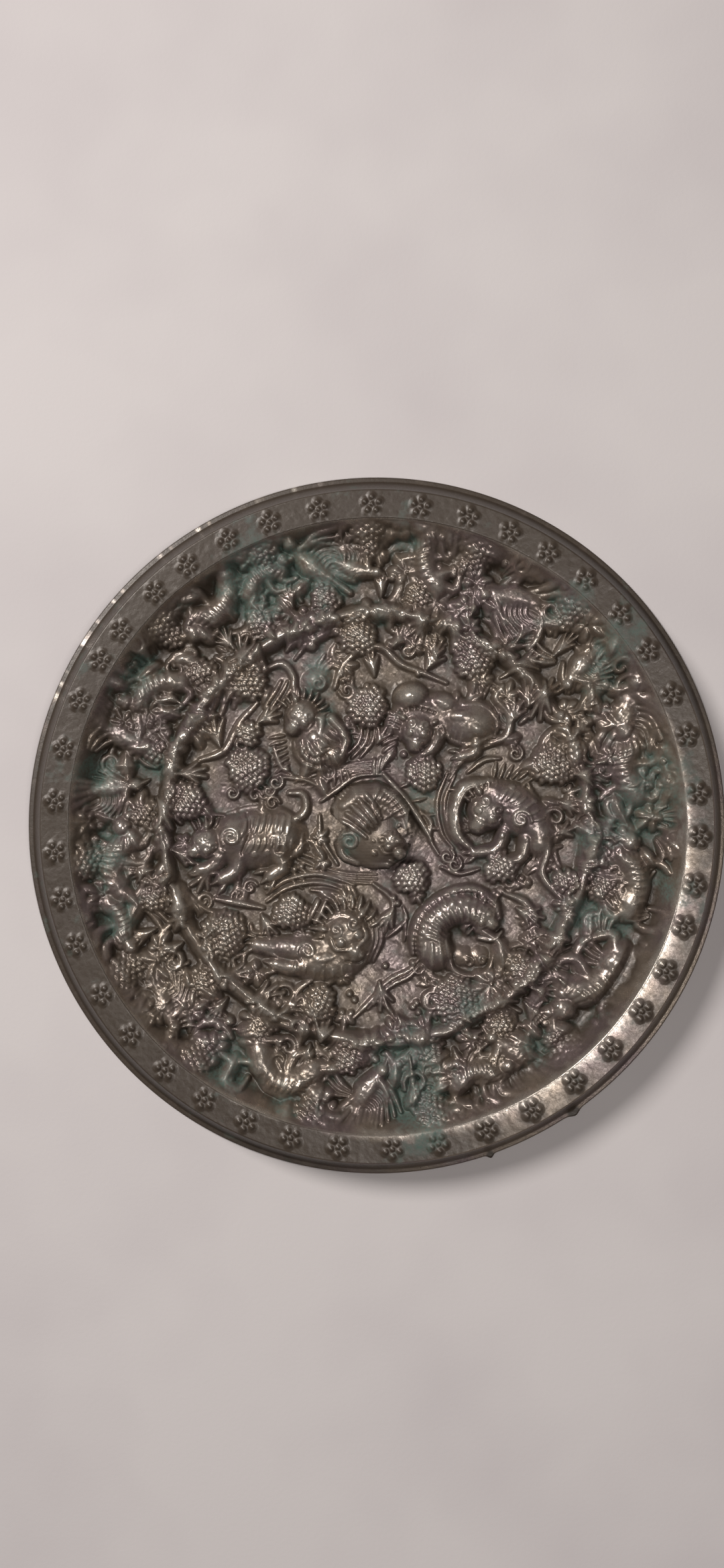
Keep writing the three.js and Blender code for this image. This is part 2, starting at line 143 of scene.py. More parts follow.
class Board:
    # A square sheet of heights above the ground, on which raised forms are drawn

    def __init__(self, half, pitch, centre=(0, 0)):
        self.half, self.pitch, self.centre = half, pitch, np.array(centre, float)
        self.count = int(round(2 * half / pitch)) + 1
        self.rise = np.zeros((self.count, self.count))

    def area(self, points, margin):
        # the slices of the sheet round these points, and the places of its cells
        low = (np.min(points, axis=0) - margin - self.centre + self.half) / self.pitch
        high = (np.max(points, axis=0) + margin - self.centre + self.half) / self.pitch
        low = np.clip(low.astype(int), 0, self.count - 2)
        high = np.clip(high.astype(int) + 2, low + 2, self.count)
        x = np.arange(low[0], high[0]) * self.pitch - self.half + self.centre[0]
        y = np.arange(low[1], high[1]) * self.pitch - self.half + self.centre[1]
        return (slice(low[1], high[1]), slice(low[0], high[0])), x[None, :], y[:, None]

    def cell(self, x, y):
        # row and column of the cells that hold these places
        u = ((x - self.centre[0] + self.half) / self.pitch).astype(int)
        v = ((y - self.centre[1] + self.half) / self.pitch).astype(int)
        return np.clip(v, 0, self.count - 1), np.clip(u, 0, self.count - 1)

    def lay(self, area, height, way):
        # over: the higher of both; blend: the same with a soft joint; on: added; cut: taken away
        here = self.rise[area]
        if way == "over":
            np.maximum(here, height, out=here)
        elif way == "blend":
            soft = 0.9
            near = np.clip(soft - np.abs(here - height), 0, None) ** 2 / (4 * soft)
            near *= np.clip(np.minimum(here, height) / soft, 0, 1)
            np.maximum(here, height, out=here)
            here += near
        elif way == "on":
            here += height
        else:
            here -= height

    def stroke(self, points, width, rise, swell=(0.6, 1, 0.6), way="over", flat=0.85):
        # along a curve: rise times (1 - (distance / half width)^2) to a power, with a changing width
        points = np.asarray(points, float)
        length = np.sum(np.hypot(*np.diff(points, axis=0).T))
        route = curveThrough(points, int(np.clip(2 * length / width, 6, 30)))
        area, x, y = self.area(route, width)
        start, span = route[:-1, :, None, None], np.diff(route, axis=0)[:, :, None, None]
        dx, dy = x - start[:, 0], y - start[:, 1]
        size = span[:, 0] ** 2 + span[:, 1] ** 2 + 1e-9
        t = np.clip((dx * span[:, 0] + dy * span[:, 1]) / size, 0, 1)
        away = (dx - t * span[:, 0]) ** 2 + (dy - t * span[:, 1]) ** 2
        best = np.argmin(away, axis=0)[None]
        t = (np.take_along_axis(t, best, 0)[0] + best[0]) / (len(route) - 1)
        away = np.take_along_axis(away, best, 0)[0]
        share = np.interp(t, np.linspace(0, 1, len(swell)), swell)
        dome = np.clip(1 - away / (share * width / 2) ** 2, 0, None) ** flat
        self.lay(area, rise * np.sqrt(share) * dome, way)

    def mound(self, place, long, wide, turn, rise, way="over", flat=0.7, narrow=0.0):
        # an oval dome, whose width may shrink towards the end that turn points to
        place = np.asarray(place, float).reshape(2)
        area, x, y = self.area(place[None], max(long, wide))
        c, s = towards(turn)
        along = ((x - place[0]) * c + (y - place[1]) * s) / (long / 2)
        across = ((y - place[1]) * c - (x - place[0]) * s) / (wide / 2)
        across = across / np.clip(1 - narrow * along, 0.2, None)
        self.lay(area, rise * np.clip(1 - along**2 - across**2, 0, None) ** flat, way)

    def beads(self, places, size, rise, way="on"):
        for place in places:
            self.mound(place, size, size, 0, rise, way, 0.5)

    def curl(self, place, size, turn, hand, width, rise, turns=1.1, way="over"):
        # a spiral that winds outwards to the side that hand names, 1 for counterclockwise
        t = np.linspace(0, 1, 12)
        angle = math.radians(turn) + hand * 2 * math.pi * turns * t
        radius = (size / 2) * (0.25 + 0.75 * t)
        place = np.asarray(place, float).reshape(2)
        route = place + np.stack((radius * np.cos(angle), radius * np.sin(angle)), axis=1)
        self.stroke(route, width, rise, (0.8, 1, 0.8), way)

    def comb(self, points, length, turns, count, width, rise, bend=0, way="on", swell=(0.6, 1, 0.4)):
        # short strokes side by side: they start along a curve, and their headings go evenly from
        # the first turn to the last
        for place, turn in zip(curveThrough(points, count), np.linspace(turns[0], turns[1], count)):
            mid = place + 0.5 * length * towards(turn)
            end = mid + 0.5 * length * towards(turn + bend / 2)
            self.stroke((place, mid, end), width, rise, swell, way)

    def fan(self, place, turn, length, spread, count, width, rise, base=0.9, way="on"):
        # a low palm of ribs that spread out from one root and bend away from the middle
        place = np.asarray(place, float).reshape(2)
        for k in range(count):
            share = 2 * k / (count - 1) - 1 if count > 1 else 0
            angle = np.radians(turn + spread * share * np.array((0.5, 0.8, 1.25)))
            reach = length * (1 - 0.22 * share * share) / 3
            steps = reach * np.stack((np.cos(angle), np.sin(angle)), axis=1)
            route = place + np.vstack(((0, 0), np.cumsum(steps, axis=0)))
            self.stroke(route, width * 1.5, base, (0.5, 1, 1, 0.7), "over")
            self.stroke(route, width, rise, (0.5, 1, 1, 0.6), way)

    def grapes(self, place, turn, long, wide, rise):
        # a bunch: a domed heart, and on it a six-sided lattice of round berries. A berry is drawn
        # only where its middle lies inside the heart.
        place = np.asarray(place, float).reshape(2)
        area, x, y = self.area(place[None], long * 0.75)
        c, s = towards(turn)
        u, v = (x - place[0]) * c + (y - place[1]) * s, (y - place[1]) * c - (x - place[0]) * s
        pitch = grape["pitch"]
        row = pitch * math.sqrt(0.75)
        best = np.zeros_like(u)
        for shift in (0, 1):
            line = np.floor(v / row) + shift
            odd = 0.5 * (line % 2)
            column = np.round(u / pitch - odd) + odd
            stray = grape["stray"] * pitch
            cu = column * pitch + stray * np.sin(12.9 * column + 78.2 * line)
            cv = line * row + stray * np.sin(39.3 * column + 11.1 * line)
            t = cu / (long / 2)
            half = np.clip((wide / 2) * (1 - grape["narrow"] * t), 0.1, None)
            inside = 1 - t**2 - (cv / half) ** 2
            crown = rise * (grape["edge"] + (1 - grape["edge"]) * np.sqrt(np.clip(inside, 0, 1)))
            gap = ((u - cu) ** 2 + (v - cv) ** 2) / (grape["berry"] / 2) ** 2
            ball = grape["berryRise"] * np.sqrt(np.clip(1 - gap, 0, 1))
            core = np.where(gap < 2.4, crown - 0.3, 0)
            best = np.maximum(best, np.where(inside > 0, np.where(gap < 1, crown + ball, core), 0))
        self.lay(area, best, "over")

    def leaf(self, place, turn, long, rise=1.6):
        # a vine leaf of five lobes, each a small mound with a rib, round the end of the stalk
        place = np.asarray(place, float).reshape(2)
        for bend, reach in ((0, 1), (52, 0.82), (-52, 0.82), (112, 0.6), (-112, 0.6)):
            way = towards(turn + bend)
            middle = place + 0.3 * long * reach * way
            self.mound(middle, 0.66 * long * reach, 0.36 * long, turn + bend, rise, "blend", 0.85)
            self.stroke((place, middle, place + 0.56 * long * reach * way), 0.13 * long, 0.35, way="on")


grape = {
    "pitch": 1.32,  # from berry to berry
    "berry": 1.3,
    "berryRise": 0.78,
    "stray": 0.12,  # how far a berry strays from the lattice, as a share of the pitch
    "narrow": 0.3,  # how the bunch narrows towards its tip
    "edge": 0.28,  # the height of the outermost berries as a share of the crown
}


def along(place, turn, side=1, size=1.0):
    # a way to give places along and across a heading, as shares of a size
    c, s = towards(turn)
    place = np.asarray(place, float).reshape(2)

    def at(*shares):
        a, b = np.array(shares, float).T * size
        b = b * side
        return place + np.stack((a * c - b * s, a * s + b * c), axis=1)

    return at


def bird(b, place, turn, side, size, rise):
    # a bird from above: a smooth body, a round head with a beak, a wing of curved feathers spread
    # to one side, the other wing folded, and a tail of long feathers
    at = along(place, turn, side, size)
    for k, across in enumerate(np.linspace(-0.2, 0.2, 5)):
        tail = at((-0.1, across * 0.5), (-0.4, across), (-0.66 + 0.05 * abs(k - 2), across * 1.7))
        b.stroke(tail, 0.15 * size, rise * 0.6, (0.8, 1, 0.7), flat=0.8)
    for k in range(7):
        root = 0.24 - 0.07 * k
        tip = at((root, 0.06), (root - 0.05, 0.3 - 0.014 * k), (root - 0.24 - 0.02 * k, 0.58 - 0.055 * k))
        b.stroke(tip, 0.12 * size, rise * 0.72, (0.9, 1, 0.6), flat=0.8)
    shoulder = at((0.24, 0.05), (0.14, 0.24), (-0.04, 0.36))
    b.stroke(shoulder, 0.17 * size, rise * 0.85, (1, 1, 0.5), "blend")
    b.stroke(at((-0.3, 0), (0, -0.02), (0.26, 0)), 0.42 * size, rise, (0.55, 1, 0.65), "blend", 0.8)
    folded = turn - 150 * side
    b.comb(at((-0.16, -0.06), (0.14, -0.1)), 0.22 * size, (folded, folded), 5, 0.07 * size, 0.35)
    b.mound(at((0.38, 0.02)), 0.26 * size, 0.23 * size, turn, rise, "blend", 0.75)
    b.stroke(at((0.46, 0.02), (0.6, -0.02)), 0.1 * size, rise * 0.7, (1, 0.4))
    b.beads(at((0.4, 0.06)), 0.07 * size, 0.4)


def creature(b, place, turn, bend, side, size, rise):
    # a small beast from its side: a bent back, haunch, shoulder, mane, head, legs, and a curled tail
    at = along(place, turn, side, size)
    arch = 0.16 * bend
    spine = at((-0.34, -arch), (-0.12, 0.03), (0.12, 0.03), (0.32, -arch))
    for root, knee, foot in (
        ((0.22, -0.1), (0.3, -0.28), (0.48, -0.34)),
        ((0.06, -0.1), (0.06, -0.32), (0.22, -0.4)),
        ((-0.3, -0.12), (-0.4, -0.3), (-0.2, -0.4)),
    ):
        b.stroke(at(root, knee, foot), 0.19 * size, rise * 0.72, (1, 0.9, 0.7), flat=0.8)
        toes = at((foot[0], foot[1] + 0.04), (foot[0] + 0.02, foot[1] - 0.05))
        b.comb(toes, 0.1 * size, (turn + 20, turn - 30), 3, 0.07 * size, 0.5)
    tail = at((-0.36, -0.04), (-0.58, 0.02), (-0.6, 0.22), (-0.42, 0.28), (-0.36, 0.14))
    b.stroke(tail, 0.13 * size, rise * 0.6, (1, 0.9, 0.9, 0.6))
    b.stroke(spine, 0.42 * size, rise, (0.85, 0.9, 1, 0.85), "blend", 0.8)
    b.mound(at((-0.25, -0.06)), 0.38 * size, 0.36 * size, turn, rise, "blend", 0.75)
    b.mound(at((0.2, -0.04)), 0.32 * size, 0.33 * size, turn, rise, "blend", 0.75)
    ribs = (turn - 95 * side, turn - 75 * side)
    b.comb(at((-0.26, 0.12), (0, 0.16), (0.2, 0.1)), 0.16 * size, ribs, 7, 0.065 * size, 0.45)
    b.mound(at((0.46, 0.02)), 0.34 * size, 0.3 * size, turn, rise * 1.04, "blend", 0.75)
    b.mound(at((0.6, -0.03)), 0.18 * size, 0.17 * size, turn, rise * 0.85, "blend", 0.8)
    b.comb(at((0.28, 0.16), (0.36, -0.16)), 0.16 * size, (turn + 150, turn + 210), 6, 0.08 * size, 0.5)
    b.beads(at((0.5, 0.08), (0.5, -0.06)), 0.075 * size, 0.45)
    b.beads(at((0.4, 0.15), (0.42, -0.12)), 0.1 * size, 0.5)


def limb(b, route, width, rise):
    # a leg: a soft stroke to the foot, and three toes that go on from it
    b.stroke(route, width, rise, (1, 0.85, 0.75), "blend", 0.9)
    way = route[-1] - route[-2]
    turn = math.degrees(math.atan2(way[1], way[0]))
    across = 0.3 * width * np.array((-way[1], way[0])) / np.hypot(*way)
    toes = (route[-1] - across, route[-1] + across)
    b.comb(toes, 0.55 * width, (turn - 22, turn + 22), 3, 0.3 * width, 0.75 * rise, way="over")


def face(b, place, turn, size, rise):
    # a beast's face from above: a round skull and muzzle, eyes under curved brows, spiral cheeks,
    # ears, nostrils and a mouth, with a collar of short locks round the back
    at = along(place, turn, 1, size)
    collar = at((0.05, 0.48), (-0.34, 0.37), (-0.48, 0), (-0.34, -0.37), (0.05, -0.48))
    headings = (turn + 95, turn + 265)
    b.comb(collar, 0.24 * size, headings, 13, 0.13 * size, 0.62 * rise, 24, "over", (0.9, 1, 0.5))
    b.mound(place, size, 0.94 * size, turn, rise, "blend", 0.75)
    b.mound(at((0.36, 0)), 0.56 * size, 0.5 * size, turn, rise, "blend", 0.8)
    for side in (-1, 1):
        ear = at((-0.24, 0.4 * side))
        b.mound(ear, 0.34 * size, 0.22 * size, turn + 120 * side, 0.86 * rise, "blend", 0.8)
        b.mound(at((0.12, 0.2 * side)), 0.2 * size, 0.2 * size, 0, 0.1 * size, "on", 0.6)
        brow = at((0.32, 0.1 * side), (0.2, 0.33 * side), (-0.02, 0.35 * side))
        b.stroke(brow, 0.11 * size, 0.075 * size, way="on")
        b.curl(at((-0.14, 0.19 * side)), 0.28 * size, turn, side, 0.09 * size, 0.06 * size, way="on")
        b.mound(at((0.54, 0.09 * side)), 0.12 * size, 0.12 * size, 0, 0.06 * size, "on", 0.7)
    b.stroke(at((0.5, -0.22), (0.62, 0), (0.5, 0.22)), 0.08 * size, 0.08 * size, way="cut")


back = Board(80.0, 0.1)


def innerGrapes():
    # bunches at places read from above, with their length, width and heading
    bunches = (
        (-31.4, 35.4, 10, 9.6, 300), (-4.6, 46.6, 9.4, 8.6, 90), (23.2, 40.8, 10.4, 10, 250),
        (42.6, 15, 11, 10.2, 205), (-2, 29.2, 10.2, 8.8, 60), (11.4, 12.8, 8.4, 7.8, 30),
        (-31.6, 14, 10.4, 9.8, 150), (-46, 6, 9.4, 8.8, 0), (-37, -26, 11, 10.4, 40),
        (-21, -21, 8.8, 7.8, 200), (-14, -42.8, 9.6, 7.4, 75), (19, -41.8, 11.4, 10.6, 100),
        (8.5, -12.9, 8.2, 7.8, 300), (30.2, -10, 8, 7, 340), (45.6, -13.4, 6.4, 6, 160),
        (35, -34.6, 8.6, 8, 120), (-31, 22.4, 6, 5.4, 40),
    )
    for x, y, long, wide, turn in bunches:
        back.grapes(seen((x, y)), turn, long, wide, 3.2)


def beastLeft(rise):
    # the beast on the left: a fat body with ribs and a round rump, its head low at the left
    b = back
    b.stroke(seen((-21, 1), (-17.4, 3.4), (-17.8, 7.6), (-21.4, 8)), 2.4, 2.4, (1, 1, 0.9, 0.6))
    for root, knee, foot in (
        ((-37, -5), (-39.4, -9.4), (-42.8, -10.6)), ((-33, -7), (-34.4, -11), (-37.6, -12.8)),
        ((-24.6, -6), (-22.8, -9.6), (-25.8, -12)),
    ):
        limb(b, seen(root, knee, foot), 5.4, rise * 0.78)
    b.mound(seen((-29.4, -3.2)), 25, 14.6, 6, rise * 0.9, "blend", 0.75)
    b.mound(seen((-23.4, -2)), 10.6, 12.4, 0, rise, "blend", 0.75)
    b.mound(seen((-34.6, -2.6)), 10.4, 11, 20, rise * 1.04, "blend", 0.75)
    b.comb(seen((-21, 2.4), (-26.4, 2.8), (-31.4, 1.6)), 4.2, (266, 256), 8, 1.25, 0.75, -16)
    b.comb(seen((-20.4, -3), (-26, -2.8), (-31, -3.6)), 3.2, (262, 250), 8, 1.1, 0.55, -16)
    b.stroke(seen((-18.6, 1.6), (-24, 4.4), (-31, 4.4), (-36.4, 3)), 1.5, 0.6, way="on")
    b.stroke(seen((-31.6, 3), (-30.8, -1.6), (-32.6, -6.6)), 1.3, 0.9, way="cut")
    b.curl(seen((-35.2, -2.6)), 5.4, 80, 1, 1.1, 0.75, 1.4, "on")
    b.curl(seen((-23.4, -5.4)), 4.2, 200, -1, 1.0, 0.5, 1.1, "on")
    b.stroke(seen((-18, -2), (-18.6, -6), (-22, -8.6)), 1.3, 0.7, way="on")
    b.beads(seen((-26.5, -6.5), (-29.6, -6.9)), 1.7, 0.6)
    face(b, seen((-41.2, -4.2))[0], 212, 8.8, rise)
    for place, hand in (((-35.1, 8), 1), ((-29.6, 7.4), -1), ((-26.2, 8.6), 1), ((-25.4, 5.6), -1)):
        b.curl(seen(place), 3.4, 40, hand, 1.2, 2.0)
    b.stroke(seen((-47, 2.6), (-42, 2.9), (-37, 2.5)), 1.4, 1.9)
    b.comb(seen((-18.6, -6.6), (-21.4, -12.6)), 4.2, (340, 320), 5, 1.1, 1.3, way="over")


def beastUpperLeft(rise):
    # the beast at the upper left: its head turns back over a body that is curled up like a ball
    b = back
    b.mound(seen((-14.2, 20.2)), 14, 12.4, 60, rise * 0.86, "blend", 1.0)
    b.beads(seen((-15.4, 21.6), (-13.0, 20.0)), 2.6, 0.7)
    for shift in (0, 1.7, 3.4):
        b.stroke(seen((-20.4 + shift, 20.4), (-19.2 + shift, 16.4 + 0.4 * shift), (-14.6, 13.8 + shift),
                      (-9.8 - 0.5 * shift, 15.2 + shift)),
                 1.3, 0.8, (0.5, 1, 1, 0.5), "on")
    b.stroke(seen((-13.4, 25.9), (-14, 21), (-16.6, 17.6)), 3.2, rise * 0.84, (1, 0.9, 0.7), "blend")
    b.stroke(seen((-11, 26), (-7.6, 21.6), (-8.6, 17)), 3.2, rise * 0.84, (1, 0.9, 0.7), "blend")
    b.mound(seen((-10.4, 17.2)), 7.0, 6.2, 60, rise * 0.84, "blend", 0.9)
    b.comb(seen((-18.6, 18.6), (-14.6, 20.6), (-11.4, 23.4)), 4.6, (300, 330), 6, 1.2, 0.7, 20)
    b.comb(seen((-19.6, 18.6), (-15.6, 14.6), (-9.6, 15)), 2.6, (60, 110), 7, 1.2, 0.7)
    b.beads(seen((-14.4, 15.8), (-12, 16.6), (-9.6, 18.3)), 1.5, 0.7)
    b.comb(seen((-8.4, 24.6), (-5.6, 21.6)), 2.4, (20, -10), 4, 1.0, 1.2, way="over")
    face(b, seen((-18.2, 26.7))[0], 232, 9.0, rise)
    b.mound(seen((-14.8, 35.4)), 8, 6.4, 20, 2.2, "blend", 1.0)
    b.curl(seen((-14.2, 34.6)), 4, 30, 1, 1.0, 0.6, way="on")
    b.stroke(seen((-27, 38.2), (-23, 39.4), (-20.4, 36.6), (-20, 32.6), (-17.6, 31.2)), 2.2, 2.1,
             (0.6, 1, 1, 1, 0.6))
    for shift in (0, 1.7, 3.4):
        b.stroke(seen((-27.4 + shift, 28.6), (-24.9 + shift, 32.4), (-23.4 + shift, 35.2)), 1.3, 1.6)
    for shift in (0, 1.6, 3.2):
        b.stroke(seen((-3.6 + shift, 24.8), (-4.4 + shift, 20.4), (-8 + 1.2 * shift, 16.6)), 1.3, 1.6)
    b.comb(seen((-22.6, 22), (-21.6, 15)), 3.6, (190, 215), 6, 1.1, 1.5, way="over")
    b.comb(seen((-13, 12), (-7.4, 13.4)), 3, (240, 290), 5, 1.1, 1.5, way="over")


def beastUpperRight(rise):
    # the beast at the upper right: its face looks down to the knob, two round shoulders stand above
    # it, and a smooth haunch fills the right
    b = back
    for shift in (0, 1.6, 3.2):
        b.stroke(seen((17.6 + shift * 0.2, 11.3 + shift), (21, 16.2 + shift * 0.8),
                      (25, 18.8 + shift * 0.6), (31, 20.6 + shift * 0.4)), 1.4, 1.7, (0.6, 1, 1, 0.6))
    b.stroke(seen((27.6, 20), (31.6, 22), (32, 27), (28.8, 31), (30.6, 34)), 2.4, 2.3, (0.6, 1, 1, 1, 0.6))
    for root, knee, foot in (((15, 22), (13.4, 18.8), (11, 17.4)),
                             ((24, 20.6), (23.6, 17.8), (20.2, 16.8))):
        limb(b, seen(root, knee, foot), 4.0, rise * 0.7)
    b.stroke(seen((8, 28), (13, 27.4), (18, 25.6), (23, 24.6)), 10, rise * 0.66, (0.9, 1, 1, 0.9), "blend")
    b.mound(seen((22.6, 25)), 15.0, 12.2, 5, rise * 0.95, "blend", 0.9)
    b.mound(seen((8.2, 31.4)), 9.0, 7.2, 10, rise * 1.05, "blend", 0.75)
    b.mound(seen((16.4, 29.8)), 8.4, 5.4, 340, rise * 0.8, "blend", 0.8)
    b.stroke(seen((28.6, 21.4), (29.4, 25.6), (26, 29.4), (20.6, 29.6)), 1.4, 0.7, (0.5, 1, 1, 0.5), "on")
    b.stroke(seen((15.6, 24), (18, 20.6), (23, 19.6), (28, 21.8)), 1.3, 0.8, (0.6, 1, 1, 0.6), "on")
    b.mound(seen((20, 26.8)), 5.4, 3, 0, 0.8, "on", 1.0)
    b.mound(seen((24.4, 23)), 4.4, 2.6, 140, 0.7, "on", 1.0)
    b.comb(seen((11.6, 28.6), (12.4, 33.8)), 1.5, (20, 10), 4, 1.0, 0.5)
    b.comb(seen((14.6, 21.8), (20, 20)), 2.4, (90, 80), 5, 1.0, 0.5)
    b.stroke(seen((4.8, 27.4), (9.2, 28.6), (14, 27.4)), 1.3, 1.1, way="cut")
    face(b, seen((9.8, 23.4))[0], 262, 9.4, rise * 1.03)
    b.comb(seen((4.8, 21.4), (3.6, 17.6), (-0.6, 16)), 3.4, (200, 265), 7, 1.5, 1.9, 14, "over",
           (0.8, 1, 0.7))
    b.beads(seen((24, 31.5), (6.5, 17.4), (28.4, 33)), 1.8, 1.6, "over")
    b.stroke(seen((31.6, 25.6), (33.6, 27.6)), 1.6, 2.0)
    b.stroke(seen((34.8, 25), (36.8, 26.8)), 1.6, 2.0)


def beastRight(rise):
    # the beast at the right: a round face inside a smooth crescent, and a body that bends down
    # behind it to a long tail
    b = back
    for shift in (0, 1.8):
        b.stroke(seen((19 - shift, 12.4 + shift * 0.4), (16.4 - shift, 6), (17.4 - shift, -1.4),
                      (20.4 - shift, -5.6)), 1.2, 1.5, (0.5, 1, 1, 0.5))
    b.stroke(seen((17.8, 8.8), (26, 9.4), (34.6, 9.6)), 1.5, 2.4)
    b.stroke(seen((38.4, 0), (41.4, -5.4), (40, -11.4), (43.3, -16.4)), 2.6, 2.6, (1, 1, 1, 0.6))
    b.curl(seen((43.2, 2)), 5.6, 200, 1, 1.5, 2.2)
    for root, knee, foot in (((31, -1), (29, -5.4), (23.4, -6.4)), ((36, -3), (35, -7.6), (30.4, -8.4))):
        limb(b, seen(root, knee, foot), 4.2, rise * 0.72)
    b.stroke(seen((29, 7), (34, 5), (38.6, 0), (39.4, -4)), 10.5, rise * 0.88, (0.9, 1, 0.95, 0.7), "blend")
    b.mound(seen((34.2, 2)), 9, 9.6, 0, rise, "blend", 0.75)
    b.curl(seen((34.6, 1.6)), 5.2, 60, -1, 1.1, 0.7, 1.2, "on")
    b.comb(seen((31.4, 9), (36, 7), (40.4, 2)), 3.0, (240, 195), 7, 1.1, 0.6, -8)
    b.stroke(seen((28, 11), (21.4, 9.6), (18.8, 4), (19.4, -2), (23.6, -6)), 3.8, rise * 0.72,
             (0.5, 1, 1, 1, 0.5), "blend", 0.9)
    b.stroke(seen((26, 10.4), (21.6, 8.4), (19.6, 3.6), (20.2, -1)), 0.9, 0.6, (0.5, 1, 1, 0.6), "on")
    face(b, seen((26.8, 3.8))[0], 236, 10.6, rise * 1.05)
    b.beads(seen((32.8, 9.6), (38.2, 6.2), (30, -2.2)), 1.7, 0.8)
    b.comb(seen((28.4, 12), (34.4, 11.4)), 3.4, (80, 40), 5, 1.1, 1.7, way="over")


def beastLowerRight(rise):
    # the beast at the lower right: it rolls itself up, with a band of cross ribs, a beaded line and
    # slanted ribs along its back, and its head comes round to its haunch
    b = back
    outerArc = seen((8.7, -31), (8.6, -26.4), (11, -20.8), (16.4, -16.6), (22.9, -15.2), (28.2, -18),
                    (29.8, -22.4))
    b.stroke(outerArc, 2.6, rise * 0.55, (0.5, 1, 1, 1, 1, 1, 0.5), "blend")
    b.stroke(seen((13.2, -30), (12.8, -25.4), (15.4, -21.4), (20.4, -19.8), (25.6, -21.6)), 8.4,
             rise * 0.98, (0.9, 1, 1, 1, 0.85), "blend")
    b.mound(seen((14.2, -29.6)), 8.8, 11.4, 0, rise, "blend", 0.75)
    b.comb(outerArc, 1.7, (0, -120), 24, 0.85, 0.5)
    b.beads(curveThrough(seen((10.6, -30), (10.4, -26), (12.6, -21.8), (17, -18.6), (22.6, -17.6),
                              (26.8, -19.6)), 15), 1.25, 0.6)
    b.comb(seen((11.8, -26.6), (13.6, -22.8), (17.6, -20), (22.6, -19.2), (26, -20.8)), 4.2, (-14, -112),
           11, 1.3, 0.8, -20)
    b.comb(seen((11.4, -28.4), (16.8, -27.6)), 7.4, (262, 284), 4, 1.4, 0.75, 8)
    b.mound(seen((19.4, -27.4)), 5, 4.4, 30, 1.8, "cut", 1.0)
    b.mound(seen((20.8, -31.6)), 5.4, 5, 20, 1.5, "blend", 0.9)
    b.mound(seen((24.8, -31.6)), 5.4, 5, 340, 1.5, "blend", 0.9)
    b.stroke(seen((17.6, -31.6), (18.7, -35), (22.9, -36.4), (27, -34.8), (28, -31.4)), 1.7, 2.2,
             (0.8, 1, 1, 1, 0.7))
    b.curl(seen((22.2, -33)), 2.8, 60, 1, 0.9, 0.8, way="on")
    b.curl(seen((25.6, -32.6)), 2.6, 60, -1, 0.9, 0.8, way="on")
    limb(b, seen((24.6, -25), (29.4, -28), (32.4, -31.4)), 3.0, rise * 0.6)
    face(b, seen((25.4, -21.6))[0], 320, 8.0, rise * 0.98)
    b.stroke(seen((24.6, -27.2), (28.2, -27.6), (30.2, -25.6)), 1.6, 2.9, (0.7, 1, 0.7))
    for shift in (0, 1.6):
        b.stroke(seen((10.5, -32 - shift), (7.8, -35 - shift), (4.3, -36.7 - shift), (1.2, -39 - shift),
                      (-2.2, -43 - shift)), 1.3,
                 1.6, (0.6, 1, 1, 1, 0.5))
    b.comb(seen((7.4, -22.6), (6.6, -28)), 3, (110, 80), 4, 1.1, 1.4, way="over")


def beastLowerLeft(rise):
    # the beast at the lower left: a long smooth body that lies to the left, its round head above
    # with bright brows, and a hooped mane on the right
    b = back
    for shift in (0, 1.7, 3.4):
        b.stroke(seen((-9 + shift, -18.4 + shift * 0.1), (-3 + shift * 0.6, -21),
                      (-0.9 + shift * 0.6, -27), (-3 + shift * 0.6, -33)),
                 1.6, 2.2 - 0.2 * shift, (0.6, 1, 1, 0.5))
    limb(b, seen((-15, -33.4), (-20.4, -34.4), (-24.4, -33.6)), 5.6, rise * 0.66)
    b.stroke(seen((-13, -30), (-19, -29.8), (-24.4, -29.4), (-29.0, -29)), 7.4, rise * 0.66,
             (1.1, 1, 0.75, 0.6), "blend", 0.9)
    b.comb(seen((-29.4, -27), (-29.8, -29.6)), 2.4, (165, 205), 3, 1.2, 2.0, way="over")
    b.mound(seen((-11.8, -32.6)), 19, 11.0, 8, rise * 0.78, "blend", 0.85)
    b.mound(seen((-14.6, -33)), 9, 8, 8, rise * 0.84, "blend", 0.8)
    b.mound(seen((-7.6, -27.6)), 15.6, 15.2, 330, rise * 0.92, "blend", 0.8)
    b.curl(seen((-17.0, -30.2)), 5.4, 200, 1, 1.2, 0.6, 1.1, "on")
    b.comb(seen((-20, -35), (-13, -37.4), (-6, -35.8)), 2.4, (80, 100), 7, 1.2, 0.5)
    b.mound(seen((-12.8, -31.7)), 6, 2.6, 10, 0.6, "on", 1.0)
    for shift in (0, 1.9):
        b.stroke(seen((-12.4 - shift, -18.2), (-13.6 - shift, -20.8), (-15 - shift, -23.4)), 2.2, 3.0,
                 (0.7, 1, 0.7))
    face(b, seen((-7.2, -25.8))[0], 292, 12.2, rise * 1.1)
    b.stroke(seen((-12.4, -22.8), (-8.6, -20.6), (-4, -22.8)), 2.2, 1.0, (0.6, 1, 0.6), "on")
    b.beads(seen((-13.6, -26.4), (-3.4, -31)), 1.8, 0.7)


